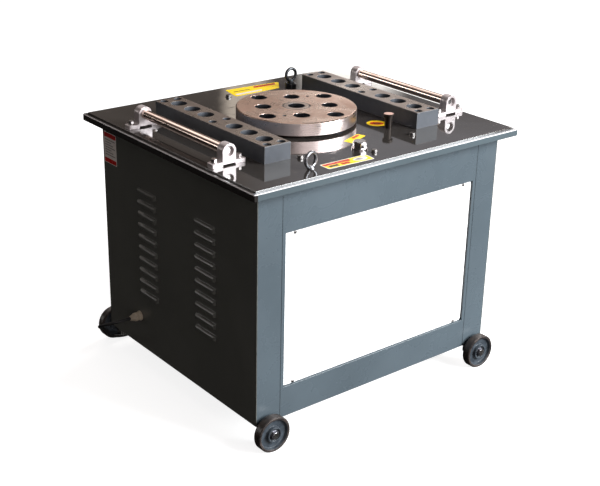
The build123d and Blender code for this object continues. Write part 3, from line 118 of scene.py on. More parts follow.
def make_world():
    """White to the camera. To everything else a dim studio with a few bright windows."""
    world = bpy.data.worlds.new("studio")
    world.use_nodes = True
    bpy.context.scene.world = world
    tree = world.node_tree
    tree.nodes.clear()
    direction = add(tree, "SeparateXYZ", Vector=add(tree, "TexCoord").outputs["Generated"])
    x, y, z = (direction.outputs[axis] for axis in "XYZ")
    degrees = 180 / math.pi
    azimuth = maths(tree, "MULTIPLY", maths(tree, "ARCTAN2", x, y), degrees)
    elevation = maths(tree, "MULTIPLY", maths(tree, "ARCSINE", z), degrees)
    tone = ramp(tree, remap(tree, z, -1, 1, 0, 1),
                ((0.0, (0.02, 0.02, 0.02)), (0.49, (0.035, 0.032, 0.029)),
                 (0.56, (0.09, 0.076, 0.066)), (0.8, (0.2, 0.165, 0.145)),
                 (1.0, (0.14, 0.14, 0.145))))
    shade = remap(tree, x, -0.7, 0.1, 0.36, 1.0)
    tone = blend(tree, shade, (0.0, 0.0, 0.0), tone)
    for *place, strength, colour in WINDOWS:
        inside = window(tree, azimuth, elevation, place)
        light = tuple(c * strength for c in colour)
        tone = blend(tree, inside, tone, light)
    studio = add(tree, "Background", Color=tone, Strength=1.0)
    white = add(tree, "Background", Color=(1, 1, 1, 1), Strength=1.0)
    seen = add(tree, "LightPath").outputs["Is Camera Ray"]
    both = add(tree, "MixShader", Fac=seen)
    tree.links.new(studio.outputs[0], both.inputs[1])
    tree.links.new(white.outputs[0], both.inputs[2])
    add(tree, "OutputWorld", Surface=both.outputs[0])


def make_floor():
    """A pale floor that shows shadows, and that no other surface sees."""
    corners = ((-1, -1), (1, -1), (1, 1), (-1, 1))
    floor = mesh_object("floor", [(x * FLOOR_HALF, y * FLOOR_HALF, 0) for x, y in corners],
                        [(0, 1, 2, 3)])
    shader = material_tree("floor_paint", (0.5, 0.5, 0.5), 0.9)[1]
    shader.inputs["Emission Color"].default_value = (1, 1, 1, 1)
    shader.inputs["Emission Strength"].default_value = FLOOR_GLOW
    shader.inputs["Specular IOR Level"].default_value = 0.0
    floor.data.materials.append(bpy.data.materials["floor_paint"])
    floor.visible_diffuse = False
    floor.visible_glossy = False


def make_lights():
    area_light("key", (2.2, -3.6, 2.4), (0.0, -0.2, 0.4), (2.6, 2.6), 560, (0.93, 0.97, 1.0))
    area_light("top", (-0.4, -0.2, 3.2), (0, 0, 0.6), (1.6, 1.6), 6, (1.0, 0.97, 0.94))
    area_light("rim", (3.2, 1.4, 2.6), (0.0, 0.0, 0.7), (1.2, 1.6), 60, (1.0, 0.94, 0.9))


# ---- node trees -----------------------------------------------------------
def add(tree, kind, settings=None, **inputs):
    """A shader node. An input is a value or another node's output; _ stands for a space."""
    made = tree.nodes.new("ShaderNode" + kind)
    for key, value in (settings or {}).items():
        setattr(made, key, value)
    for key, value in inputs.items():
        socket = made.inputs[key.replace("_", " ")]
        if isinstance(value, bpy.types.NodeSocket):
            tree.links.new(value, socket)
        else:
            socket.default_value = value
    return made


def remap(tree, value, low, high, new_low, new_high):
    return add(tree, "MapRange", {"clamp": True}, Value=value, From_Min=low, From_Max=high,
               To_Min=new_low, To_Max=new_high).outputs[0]


def ramp(tree, factor, stops):
    """Colours along a factor. Each stop is a position and a colour."""
    node = add(tree, "ValToRGB", Fac=factor)
    elements = node.color_ramp.elements
    while len(elements) < len(stops):
        elements.new(0.5)
    for element, (position, colour) in zip(elements, stops):
        element.position = position
        element.color = (*colour, 1.0)
    return node.outputs["Color"]


def blend(tree, factor, first, second):
    """Two colours mixed by a factor."""
    node = tree.nodes.new("ShaderNodeMix")
    node.data_type = "RGBA"
    for index, value in ((0, factor), (6, first), (7, second)):
        socket = node.inputs[index]
        if isinstance(value, bpy.types.NodeSocket):
            tree.links.new(value, socket)
        elif index:
            socket.default_value = (*value, 1.0)
        else:
            socket.default_value = value
    return node.outputs[2]


# How far a value may be from the one that it's compared with.
COMPARE_REACH = 0.15


def maths(tree, how, first, second=0.0):
    node = add(tree, "Math", {"operation": how})
    for index, value in ((0, first), (1, second), (2, COMPARE_REACH)):
        if isinstance(value, bpy.types.NodeSocket):
            tree.links.new(value, node.inputs[index])
        else:
            node.inputs[index].default_value = value
    return node.outputs[0]


def coordinates(tree, scale=(1, 1, 1), kind="Object", shift=(0, 0, 0)):
    """Places on the object, in metres for Object and from 0 to 1 for Generated."""
    where = add(tree, "TexCoord").outputs[kind]
    return add(tree, "Mapping", Vector=where, Scale=scale, Location=shift).outputs[0]


def noise(tree, vector, scale, detail=3.0, roughness=0.5, distortion=0.0):
    return add(tree, "TexNoise", Vector=vector, Scale=scale, Detail=detail, Roughness=roughness,
               Distortion=distortion).outputs["Fac"]


def soft_edges(tree, radius):
    """The normal with its sharp edges rounded by a small radius."""
    return add(tree, "Bevel", {"samples": 4}, Radius=radius).outputs[0]


def worn_edges(tree, radius, low, high):
    """1 on sharp edges and 0 elsewhere."""
    rounded = soft_edges(tree, radius)
    flat = add(tree, "NewGeometry").outputs["True Normal"]
    node = add(tree, "VectorMath", {"operation": "DOT_PRODUCT"})
    tree.links.new(rounded, node.inputs[0])
    tree.links.new(flat, node.inputs[1])
    return remap(tree, node.outputs["Value"], high, low, 0, 1)


def rise(tree):
    """How far a face looks up: 1 on a top, 0 on a wall and -1 on an underside."""
    normal = add(tree, "NewGeometry").outputs["True Normal"]
    return add(tree, "SeparateXYZ", Vector=normal).outputs["Z"]


def distance_from_axis(tree, first, second):
    """The length of two sides that are square to each other."""
    squares = [maths(tree, "POWER", side, 2.0) for side in (first, second)]
    return maths(tree, "SQRT", maths(tree, "ADD", *squares))


def shaded(colour, factor, lift=0.0):
    """A colour made darker or lighter, and never brighter than white."""
    return tuple(min(1.0, c * factor + lift) for c in colour)


def bump(tree, height, strength, distance, normal=None):
    node = add(tree, "Bump", Height=height, Strength=strength, Distance=distance)
    if normal is not None:
        tree.links.new(normal, node.inputs["Normal"])
    return node.outputs[0]


def material_tree(name, colour, roughness, metallic=0.0):
    """A material with one principled shader. Returns its tree and its shader."""
    made = bpy.data.materials.new(name)
    made.use_nodes = True
    tree = made.node_tree
    tree.nodes.clear()
    shader = add(tree, "BsdfPrincipled", Base_Color=(*colour, 1.0), Roughness=roughness,
                 Metallic=metallic)
    add(tree, "OutputMaterial", Surface=shader.outputs[0])
    return tree, shader


def connect(tree, shader, **links):
    for key, value in links.items():
        tree.links.new(value, shader.inputs[key.replace("_", " ")])


# ---- materials ------------------------------------------------------------
STEEL_EDGE = 0.0006
STEEL_SHADE = 0.75
DISC_INNER = 0.15
# Painted shade for the disc's hole walls and the spindle's sides.
HOLE_WALL_SHADE = (0.2, 0.21, 0.235)
TABLE_LEDGE = 0.4148
TABLE_FRONT_LEDGE = 0.3698
# Painted shade for the left ledge and the left side of the table's edge.
TABLE_LEFT_SHADE = (0.02, 0.018, 0.017)
TABLE_BEVEL_RISE = 0.707
SEAM_PLACE = 0.318
SEAM_HALF = 0.0008


def painted_sheet(name, colour, gloss, specular=0.5, peel=0.0002, wear=0.5, blotch=0.12,
                  round_over=0.0012, dust_share=0.35):
    """Sprayed enamel: slight colour drift, orange peel, dull patches and worn edges."""
    tree, shader = material_tree(name, colour, gloss)
    shader.inputs["Specular IOR Level"].default_value = specular
    where = coordinates(tree)
    drift = noise(tree, where, 3.2, 4, 0.55, 0.4)
    tone = ramp(tree, drift, ((0.3, shaded(colour, 1 - blotch)),
                              (0.7, shaded(colour, 1 + blotch))))
    dust = ramp(tree, noise(tree, where, 160, 4, 0.7), ((0.62, (0, 0, 0)), (0.78, (1, 1, 1))))
    tone = blend(tree, maths(tree, "MULTIPLY", dust, dust_share), tone,
                 shaded(colour, 1.35, 0.012))
    edge = worn_edges(tree, 0.0012, 0.86, 0.985)
    chips = maths(tree, "GREATER_THAN", noise(tree, where, 120, 5, 0.7), 0.5)
    worn = maths(tree, "MULTIPLY", maths(tree, "MULTIPLY", edge, chips), wear)
    tone = blend(tree, worn, tone, shaded(colour, 2.6, 0.05))
    patches = noise(tree, where, 11, 5, 0.6, 0.6)
    rough = remap(tree, patches, 0.3, 0.75, gloss * 0.75, gloss * 1.45)
    orange_peel = noise(tree, where, 420, 2, 0.5)
    waves = noise(tree, where, 7, 2, 0.5)
    height = maths(tree, "ADD", orange_peel, maths(tree, "MULTIPLY", waves, 3.0))
    normal = bump(tree, height, 0.5, peel, soft_edges(tree, round_over))
    connect(tree, shader, Base_Color=tone, Roughness=rough, Normal=normal)
    return bpy.data.materials[name]


def recolour(material, tint):
    """Changes a material's base colour: tint takes its tree and tone, and gives a new tone."""
    tree = material.node_tree
    socket = tree.nodes["Principled BSDF"].inputs["Base Color"]
    tree.links.new(tint(tree, socket.links[0].from_socket), socket)
    return material


def top_recolour(material, colour):
    """Gives the faces that look straight up another colour."""
    def tint(tree, tone):
        return blend(tree, maths(tree, "GREATER_THAN", rise(tree), 0.9), tone, colour)

    return recolour(material, tint)


def table_edge_enamel(name):
    """The table's enamelled edge: a painted highlight on the bevel and front ledge, and painted
    shade on the left ledge and left side.
    """
    def tint(tree, tone):
        place = add(tree, "SeparateXYZ", Vector=coordinates(tree)).outputs
        facing = rise(tree)
        # Painted shade: the left ledge and the left side of the edge are darkened.
        left = maths(tree, "LESS_THAN", place["X"], -TABLE_LEDGE)
        tone = blend(tree, left, tone, TABLE_LEFT_SHADE)
        # Painted highlight: the top of the front ledge is made lighter.
        front = maths(tree, "LESS_THAN", place["Y"], -TABLE_FRONT_LEDGE)
        up = maths(tree, "GREATER_THAN", facing, 0.95)
        tone = blend(tree, maths(tree, "MULTIPLY", front, up), tone, (0.1, 0.108, 0.12))
        # Painted highlight: the bevel, which faces half up, is made bright.
        slope = maths(tree, "COMPARE", facing, TABLE_BEVEL_RISE)
        return blend(tree, slope, tone, (0.58, 0.56, 0.57))

    return recolour(painted_sheet(name, (0.07, 0.09, 0.1), 0.2, 0.6, 0.0001, 0.5), tint)


def frame_enamel(name, colour):
    """The frame's enamel, with a dark line where each rail butts against a corner post."""
    def tint(tree, tone):
        place = add(tree, "SeparateXYZ", Vector=coordinates(tree)).outputs
        across = maths(tree, "SUBTRACT", maths(tree, "ABSOLUTE", place["X"]), SEAM_PLACE)
        seam = maths(tree, "LESS_THAN", maths(tree, "ABSOLUTE", across), SEAM_HALF)
        return blend(tree, seam, tone, shaded(colour, 0.16))

    return recolour(painted_sheet(name, colour, 0.26), tint)


def table_enamel(name):
    """The table's dark mirror gloss plate, with fine wiping marks and a few dull scuffs."""
    tree, shader = material_tree(name, (0.03, 0.027, 0.025), 0.06)
    shader.inputs["IOR"].default_value = 2.1
    where = coordinates(tree)
    drift = noise(tree, where, 2.4, 3, 0.5, 0.5)
    tone = ramp(tree, drift, ((0.3, (0.024, 0.021, 0.019)), (0.7, (0.042, 0.037, 0.034))))
    streaks = noise(tree, coordinates(tree, (3, 60, 1)), 6, 4, 0.6, 0.2)
    scuffs = noise(tree, where, 26, 6, 0.7, 1.2)
    rough = maths(tree, "ADD", remap(tree, streaks, 0.35, 0.75, 0.035, 0.085),
                  remap(tree, scuffs, 0.56, 0.8, 0.0, 0.16))
    tone = blend(tree, remap(tree, scuffs, 0.58, 0.8, 0.0, 0.5), tone, (0.09, 0.08, 0.072))
    ripple = noise(tree, where, 16, 2, 0.4)
    normal = bump(tree, ripple, 0.25, 0.0004, soft_edges(tree, 0.0008))
    connect(tree, shader, Base_Color=tone, Roughness=rough, Normal=normal)
    return bpy.data.materials[name]


def steel(name, colour, roughness, grain=(1, 1, 1), grain_scale=300.0, stain=None):
    """Bare or plated steel with a directional grain, faint stains and bright edges."""
    tree, shader = material_tree(name, colour, roughness, 1.0)
    where = coordinates(tree)
    lines = noise(tree, coordinates(tree, grain), grain_scale, 4, 0.6)
    low = shaded(colour, STEEL_SHADE)
    tone = ramp(tree, lines, ((0.3, low), (0.68, colour)))
    stains = noise(tree, where, 18, 5, 0.65, 0.8)
    tone = blend(tree, remap(tree, stains, 0.45, 0.75, 0.0, 0.6), tone, stain or low)
    worn = worn_edges(tree, STEEL_EDGE * 1.6, 0.8, 0.985)
    tone = blend(tree, maths(tree, "MULTIPLY", worn, 0.7), tone, shaded(colour, 1.25))
    rough = maths(tree, "ADD", remap(tree, lines, 0.3, 0.7, roughness * 0.8, roughness * 1.15),
                  remap(tree, stains, 0.5, 0.8, 0.0, 0.14))
    normal = bump(tree, lines, 0.22, 0.00015, soft_edges(tree, STEEL_EDGE))
    connect(tree, shader, Base_Color=tone, Roughness=rough, Normal=normal)
    return bpy.data.materials[name]


def turned_steel(name, centre, colour, stain, roughness, joint=(0.0, 0.0)):
    """Turned about an upright axis, with oil stains and a dark joint between two radii."""
    tree, shader = material_tree(name, colour, roughness, 1.0)
    shader.inputs["Anisotropic"].default_value = 0.55
    tangent = add(tree, "Tangent", {"direction_type": "RADIAL", "axis": "Z"}).outputs[0]
    tree.links.new(tangent, shader.inputs["Tangent"])
    where = coordinates(tree, shift=(-centre[0], -centre[1], 0))
    parts = add(tree, "SeparateXYZ", Vector=where)
    radius = distance_from_axis(tree, parts.outputs["X"], parts.outputs["Y"])
    rings_at = add(tree, "CombineXYZ", X=radius, Z=parts.outputs["Z"]).outputs[0]
    fine = noise(tree, rings_at, 900, 3, 0.7)
    broad = noise(tree, rings_at, 90, 3, 0.6)
    tone = ramp(tree, fine, ((0.3, shaded(colour, 0.7)), (0.7, colour)))
    tone = blend(tree, remap(tree, broad, 0.4, 0.7, 0.0, 0.45), tone, stain)
    stains = noise(tree, where, 14, 6, 0.65, 0.9)
    tone = blend(tree, remap(tree, stains, 0.4, 0.72, 0.0, 0.75), tone, stain)
    edge = worn_edges(tree, 0.0022, 0.8, 0.985)
    tone = blend(tree, maths(tree, "MULTIPLY", edge, 0.5), tone, (0.82, 0.76, 0.7))
    upright = maths(tree, "LESS_THAN", maths(tree, "ABSOLUTE", rise(tree)), 0.5)
    # Painted shade: upright faces within DISC_INNER of the axis, the hole walls and the spindle's
    # sides, get a darker grey.
    inner = maths(tree, "MULTIPLY", upright, maths(tree, "LESS_THAN", radius, DISC_INNER))
    tone = blend(tree, maths(tree, "MULTIPLY", upright, 0.7), tone, (0.74, 0.68, 0.69))
    tone = blend(tree, inner, tone, HOLE_WALL_SHADE)
    low, high = joint
    gap = maths(tree, "MULTIPLY", maths(tree, "GREATER_THAN", radius, low),
                maths(tree, "LESS_THAN", radius, high))
    tone = blend(tree, gap, tone, (0.012, 0.01, 0.01))
    rough = maths(tree, "ADD", remap(tree, fine, 0.3, 0.7, roughness * 0.8, roughness * 1.2),
                  remap(tree, stains, 0.45, 0.75, 0.0, 0.16))
    normal = bump(tree, fine, 0.3, 0.00012, soft_edges(tree, 0.001))
    connect(tree, shader, Base_Color=tone, Roughness=rough, Normal=normal)
    return bpy.data.materials[name]


def socket_bar_steel(name):
    """Dark blued sides, and a top that is ground and rubbed bare along its length."""
    tree, shader = material_tree(name, (0.03, 0.03, 0.03), 0.45)
    where = coordinates(tree)
    top = remap(tree, rise(tree), 0.9, 0.99, 0, 1)
    scale = noise(tree, where, 60, 5, 0.65, 0.5)
    sides = ramp(tree, scale, ((0.3, (0.038, 0.043, 0.052)), (0.75, (0.051, 0.058, 0.07))))
    lines = noise(tree, coordinates(tree, (40, 1, 40)), 18, 4, 0.65)
    ground = ramp(tree, lines, ((0.3, (0.2, 0.165, 0.14)), (0.7, (0.5, 0.41, 0.35))))
    rubbed = noise(tree, where, 9, 5, 0.6, 0.5)
    ground = blend(tree, remap(tree, rubbed, 0.4, 0.7, 0, 0.6), ground, (0.24, 0.19, 0.17))
    tone = blend(tree, top, sides, ground)
    edge = worn_edges(tree, 0.0016, 0.8, 0.98)
    tone = blend(tree, maths(tree, "MULTIPLY", edge, 0.7), tone, (0.42, 0.38, 0.34))
    metal = maths(tree, "MAXIMUM", maths(tree, "MULTIPLY", top, 0.85),
                  maths(tree, "MULTIPLY", edge, 0.8))
    rough = remap(tree, maths(tree, "ADD", rubbed, maths(tree, "MULTIPLY", lines, 0.4)), 0.4, 1.0,
                  0.2, 0.36)
    rough = remap(tree, top, 0.0, 1.0, 0.5, rough)
    normal = bump(tree, maths(tree, "ADD", scale, lines), 0.3, 0.00006, soft_edges(tree, 0.0012))
    connect(tree, shader, Base_Color=tone, Metallic=metal, Roughness=rough, Normal=normal)
    return bpy.data.materials[name]


def casting(name, colour, roughness=0.4, metallic=0.0, grain=0.0006, wear=0.4, dirt=0.5):
    """Paint over a sand casting: pebbled, with dirt in its dips and rubbed edges."""
    tree, shader = material_tree(name, colour, roughness, metallic)
    where = coordinates(tree)
    sand = noise(tree, where, 190, 4, 0.6)
    dips = shaded(colour, 0.55)
    tone = ramp(tree, noise(tree, where, 30, 4, 0.6), ((0.3, dips), (0.6, colour)))
    tone = blend(tree, 1.0 - dirt, tone, colour)
    edge = worn_edges(tree, 0.0014, 0.8, 0.98)
    tone = blend(tree, maths(tree, "MULTIPLY", edge, wear), tone, shaded(colour, 1.8, 0.1))
    rough = remap(tree, sand, 0.3, 0.7, roughness * 0.8, roughness * 1.25)
    normal = bump(tree, sand, 0.5, grain, soft_edges(tree, 0.0014))
    connect(tree, shader, Base_Color=tone, Roughness=rough, Normal=normal)
    return bpy.data.materials[name]


def wheel_paint(name):
    """A painted cast wheel whose rim is worn to dark iron by the ground."""
    tree, shader = material_tree(name, (0.1, 0.13, 0.15), 0.4)
    centred = coordinates(tree, kind="Generated", shift=(-0.5, -0.5, -0.5))
    parts = add(tree, "SeparateXYZ", Vector=centred)
    radius = distance_from_axis(tree, parts.outputs["X"], parts.outputs["Z"])
    where = coordinates(tree)
    mottle = noise(tree, where, 70, 5, 0.65, 0.5)
    web = ramp(tree, mottle, ((0.3, (0.022, 0.027, 0.034)), (0.7, (0.05, 0.064, 0.078))))
    rim = ramp(tree, mottle, ((0.35, (0.012, 0.011, 0.011)), (0.75, (0.07, 0.05, 0.042))))
    ragged = maths(tree, "ADD", radius, maths(tree, "MULTIPLY", mottle, 0.03))
    tone = blend(tree, remap(tree, ragged, 0.42, 0.46, 0, 1), web, rim)
    edge = worn_edges(tree, 0.001, 0.8, 0.98)
    tone = blend(tree, maths(tree, "MULTIPLY", edge, 0.45), tone, (0.35, 0.36, 0.37))
    rough = remap(tree, mottle, 0.3, 0.75, 0.25, 0.55)
    normal = bump(tree, noise(tree, where, 300, 3, 0.6), 0.4, 0.0004, soft_edges(tree, 0.001))
    connect(tree, shader, Base_Color=tone, Roughness=rough, Normal=normal)
    return bpy.data.materials[name]


def lifting_eye_steel(name):
    """The front eye is bright zinc and the rear one is dark, so the finish changes along Y."""
    tree, shader = material_tree(name, (0.5, 0.5, 0.5), 0.3, 1.0)
    where = coordinates(tree)
    mottle = noise(tree, where, 220, 4, 0.65)
    along = add(tree, "SeparateXYZ", Vector=where).outputs["Y"]
    rear = remap(tree, along, -0.01, 0.01, 0, 1)
    bright = ramp(tree, mottle, ((0.3, (0.12, 0.12, 0.13)), (0.7, (0.32, 0.32, 0.335))))
    dull = ramp(tree, mottle, ((0.3, (0.02, 0.022, 0.025)), (0.7, (0.09, 0.095, 0.1))))
    tone = blend(tree, rear, bright, dull)
    rough = remap(tree, mottle, 0.3, 0.7, 0.22, 0.42)
    normal = bump(tree, mottle, 0.3, 0.0003, soft_edges(tree, 0.0008))
    connect(tree, shader, Base_Color=tone, Roughness=rough, Normal=normal)
    return bpy.data.materials[name]


def moulded(name, colour, roughness=0.45, grain=0.0002, specular=0.5):
    """Moulded plastic or rubber with a fine texture, dusty in its high spots."""
    tree, shader = material_tree(name, colour, roughness)
    shader.inputs["Specular IOR Level"].default_value = specular
    where = coordinates(tree)
    texture = noise(tree, where, 900, 3, 0.6)
    dust = noise(tree, where, 45, 5, 0.65)
    tone = blend(tree, remap(tree, dust, 0.45, 0.75, 0, 0.6), colour,
                 shaded(colour, 0.8, 0.03))
    rough = remap(tree, dust, 0.35, 0.7, roughness * 0.8, min(1.0, roughness * 1.3))
    normal = bump(tree, texture, 0.4, grain, soft_edges(tree, 0.0008))
    connect(tree, shader, Base_Color=tone, Roughness=rough, Normal=normal)
    return bpy.data.materials[name]


def print_film(name, colour):
    """A printed plastic film with a soft gloss and a little fading."""
    tree, shader = material_tree(name, colour, 0.3)
    shader.inputs["Specular IOR Level"].default_value = 0.2
    where = coordinates(tree)
    fade = noise(tree, where, 60, 5, 0.7, 0.3)
    tone = blend(tree, remap(tree, fade, 0.4, 0.75, 0, 0.35), colour,
                 shaded(colour, 0.8, 0.02))
    rough = remap(tree, fade, 0.3, 0.7, 0.2, 0.42)
    normal = bump(tree, noise(tree, where, 500, 2, 0.5), 0.2, 0.00008)
    connect(tree, shader, Base_Color=tone, Roughness=rough, Normal=normal)
    return bpy.data.materials[name]


def laminated(name):
    """The stator's stack of thin sheets, with varnish between them."""
    tree, shader = material_tree(name, (0.3, 0.27, 0.24), 0.45, 0.8)
    sheets = noise(tree, coordinates(tree, (1, 1, 900)), 3, 2, 0.5)
    tone = ramp(tree, sheets, ((0.4, (0.16, 0.1, 0.06)), (0.6, (0.42, 0.38, 0.34))))
    connect(tree, shader, Base_Color=tone, Roughness=remap(tree, sheets, 0.3, 0.7, 0.35, 0.6),
            Normal=bump(tree, sheets, 0.4, 0.0003))
    return bpy.data.materials[name]


# ---- mesh helpers ---------------------------------------------------------
SHARP_ANGLE = math.radians(35)
CORNER_STEPS = 5
OVAL_STEPS = 40


def mesh_object(name, points, faces):
    data = bpy.data.meshes.new(name)
    data.from_pydata([tuple(p) for p in points], [], faces)
    data.update()
    made = bpy.data.objects.new(name, data)
    bpy.context.scene.collection.objects.link(made)
    return made


def smooth(piece):
    """Smooth shading with sharp edges kept."""
    for polygon in piece.data.polygons:
        polygon.use_smooth = True
    piece.data.set_sharp_from_angle(angle=SHARP_ANGLE)
    return piece


def along_x(place, direction=1.0):
    """A frame whose local Z runs along X from a place."""
    turn = Matrix.Rotation(math.copysign(math.pi / 2, direction), 4, "Y")
    return Matrix.Translation(place) @ turn


def revolve(name, profile, place, segments=72, shape=None):
    """Turns a profile of (height, radius) about a local Z. shape changes a radius by its angle."""
    points = []
    faces = []
    for height, radius in profile:
        for step in range(segments):
            angle = 2 * math.pi * step / segments
            r = shape(height, radius, angle) if shape else radius
            points.append(place @ Vector((r * math.cos(angle), r * math.sin(angle), height)))
    for row in range(len(profile) - 1):
        for step in range(segments):
            after = (step + 1) % segments
            a = row * segments + step
            b = row * segments + after
            faces.append((a, b, b + segments, a + segments))
    faces.append(tuple(reversed(range(segments))))
    last = (len(profile) - 1) * segments
    faces.append(tuple(range(last, last + segments)))
    return smooth(mesh_object(name, points, faces))


def rounded(corners, radius):
    """An outline with each corner replaced by an arc."""
    outline = []
    count = len(corners)
    for i, corner in enumerate(corners):
        corner = Vector(corner)
        before = (Vector(corners[i - 1]) - corner).normalized()
        after = (Vector(corners[(i + 1) % count]) - corner).normalized()
        half = before.angle(after) / 2
        reach = radius / math.tan(half)
        middle = corner + (before + after).normalized() * (radius / math.sin(half))
        start = corner + before * reach - middle
        end = corner + after * reach - middle
        for step in range(CORNER_STEPS + 1):
            turned = start.slerp(end, step / CORNER_STEPS).normalized()
            outline.append(middle + turned * radius)
    return [(p.x, p.y) for p in outline]


def oval(centre, along, across, turn):
    """An ellipse with its half lengths, turned by an angle."""
    points = []
    for step in range(OVAL_STEPS):
        angle = 2 * math.pi * step / OVAL_STEPS
        u = along * math.cos(angle)
        v = across * math.sin(angle)
        points.append((centre[0] + u * math.cos(turn) - v * math.sin(turn),
                       centre[1] + u * math.sin(turn) + v * math.cos(turn)))
    return points


def plate(name, outline, low, high, place=Matrix.Identity(4)):
    """A flat plate with an outline in its own XY plane."""
    count = len(outline)
    points = [place @ Vector((x, y, z)) for z in (low, high) for x, y in outline]
    faces = [tuple(reversed(range(count))), tuple(range(count, 2 * count))]
    faces += [(i, (i + 1) % count, (i + 1) % count + count, i + count) for i in range(count)]
    return mesh_object(name, points, faces)


def finished(piece, material, body="cabinet"):
    """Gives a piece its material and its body."""
    piece.data.materials.append(material)
    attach(piece, body)
    return piece


# ---- power lead -----------------------------------------------------------
CABLE_DIAMETER = 0.0085
GLAND_PLACE = Vector((-0.390, 0.180, 0.155))
PLUG_PLACE = Vector((0.024, 0.441, 0.026))
GLAND_HEXAGON = (0.0032, 0.0118)
GLAND_FLAT = 0.0117
GLAND_FLUTED = (0.0125, 0.0195)
GLAND_FLUTES = 14
BOOT_RIBBED = (0.004, 0.024)
BOOT_RIBS = 16
GRIP_RIBBED = (0.030, 0.070)
GRIP_RIBS = 12
PLUG_PINS = 5
PIN_CIRCLE = 0.012
COIL_CENTRE = Vector((-0.120, 0.480, 0.0))
COIL_START = math.radians(-43.5)
COIL_END = math.radians(-68.0)
COIL_LANES = ((0.06375, 0.00425), (0.05525, 0.00425), (0.04675, 0.00425), (0.03825, 0.00425),
              (0.0425, 0.01275), (0.051, 0.01275), (0.0595, 0.01275), (0.0638, 0.01275))
COIL_POINTS = 18
LANE_SHIFT = 0.3
TIE_ANGLE = math.radians(60)
CABLE_ROUTE = (
    (-0.422, 0.180, 0.155), (-0.449, 0.180, 0.155), (-0.472, 0.1915, 0.150),
    (-0.4845, 0.214, 0.1395), (-0.4835, 0.240, 0.125), (-0.470, 0.263, 0.109),
    (-0.449, 0.284, 0.092), (-0.429, 0.304, 0.073), (-0.413, 0.324, 0.052),
    (-0.398, 0.341, 0.031), (-0.374, 0.352, 0.0155), (-0.343, 0.355, 0.007),
    (-0.310, 0.361, 0.0044), (-0.268, 0.380, 0.00425), (-0.226, 0.398, 0.00425),
    (-0.186, 0.407, 0.00425), (-0.146, 0.408, 0.00425), (-0.109, 0.411, 0.0043),
    (-0.072, 0.4345, 0.00425),
)
TAIL_ROUTE = (
    (-0.096, 0.4205, 0.01275), (-0.066, 0.433, 0.014), (-0.036, 0.440, 0.0195),
    (-0.007, 0.441, 0.026), (0.024, 0.441, 0.026),
)


def coil_points():
    """Seven turns in two layers: out to in on the floor, then in to out on top."""
    turns = len(COIL_LANES) - 1
    whole = 2 * math.pi * turns + COIL_END - COIL_START
    count = round(COIL_POINTS * whole / (2 * math.pi))
    swell = 1 / math.cos(math.pi / COIL_POINTS)
    points = []
    for step in range(1, count):
        progress = whole * step / count / (2 * math.pi)
        lane = int(progress)
        shift = max(0.0, (progress - lane - 1 + LANE_SHIFT) / LANE_SHIFT)
        shift = shift * shift * (3 - 2 * shift)
        (radius, height), (next_radius, next_height) = COIL_LANES[lane:lane + 2]
        r = (radius + (next_radius - radius) * shift) * swell
        angle = COIL_START + 2 * math.pi * progress
        points.append((COIL_CENTRE.x + r * math.cos(angle), COIL_CENTRE.y + r * math.sin(angle),
                       height + (next_height - height) * shift))
    return points


def make_lead(rubber):
    points = [*CABLE_ROUTE, *coil_points(), *TAIL_ROUTE]
    data = bpy.data.curves.new("power_lead", "CURVE")
    data.dimensions = "3D"
    data.resolution_u = 6
    data.bevel_depth = CABLE_DIAMETER / 2
    data.bevel_resolution = 6
    spline = data.splines.new("NURBS")
    spline.points.add(len(points) - 1)
    for point, place in zip(spline.points, points):
        point.co = (*place, 1.0)
    spline.order_u = 3
    spline.use_endpoint_u = True
    lead = bpy.data.objects.new("power_lead", data)
    bpy.context.scene.collection.objects.link(lead)
    finished(lead, rubber)
    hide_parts("power_cable", "cable_coil")
    return lead


def make_gland(nylon):
    """A ribbed cable gland: lock nut, hexagon with a collar, fluted dome nut and slotted boot."""
    def shape(height, radius, angle):
        if GLAND_HEXAGON[0] < height < GLAND_HEXAGON[1]:
            flat = math.pi / 3
            beside = (angle % flat) - flat / 2
            return min(radius, GLAND_FLAT / math.cos(beside))
        if GLAND_FLUTED[0] < height < GLAND_FLUTED[1]:
            return radius * (1 + 0.035 * math.copysign(1, math.sin(GLAND_FLUTES * angle)))
        return radius

    profile = [(0, 0.004), (0, 0.0132), (0.0004, 0.014), (0.0028, 0.014), (0.0031, 0.0136),
               (0.0033, 0.0135), (0.0038, 0.0135), (0.0112, 0.0135), (0.0117, 0.0131),
               (0.0119, 0.0112), (0.0124, 0.0112), (0.0126, 0.0116), (0.0190, 0.0114),
               (0.0196, 0.0112), (0.0208, 0.0104)]
    for ring in range(4):
        height = 0.0214 + ring * 0.0026
        radius = 0.0099 - ring * 0.0009
        profile += [(height, radius), (height + 0.0013, radius - 0.0002),
                    (height + 0.0015, radius - 0.0014), (height + 0.0024, radius - 0.0015)]
    profile += [(0.0318, 0.0062), (0.0320, 0.0058), (0.0320, 0.0043)]
    gland = revolve("lead_gland", profile, along_x(GLAND_PLACE, -1), 84, shape)
    finished(gland, nylon)
    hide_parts("cable_gland")
    return gland


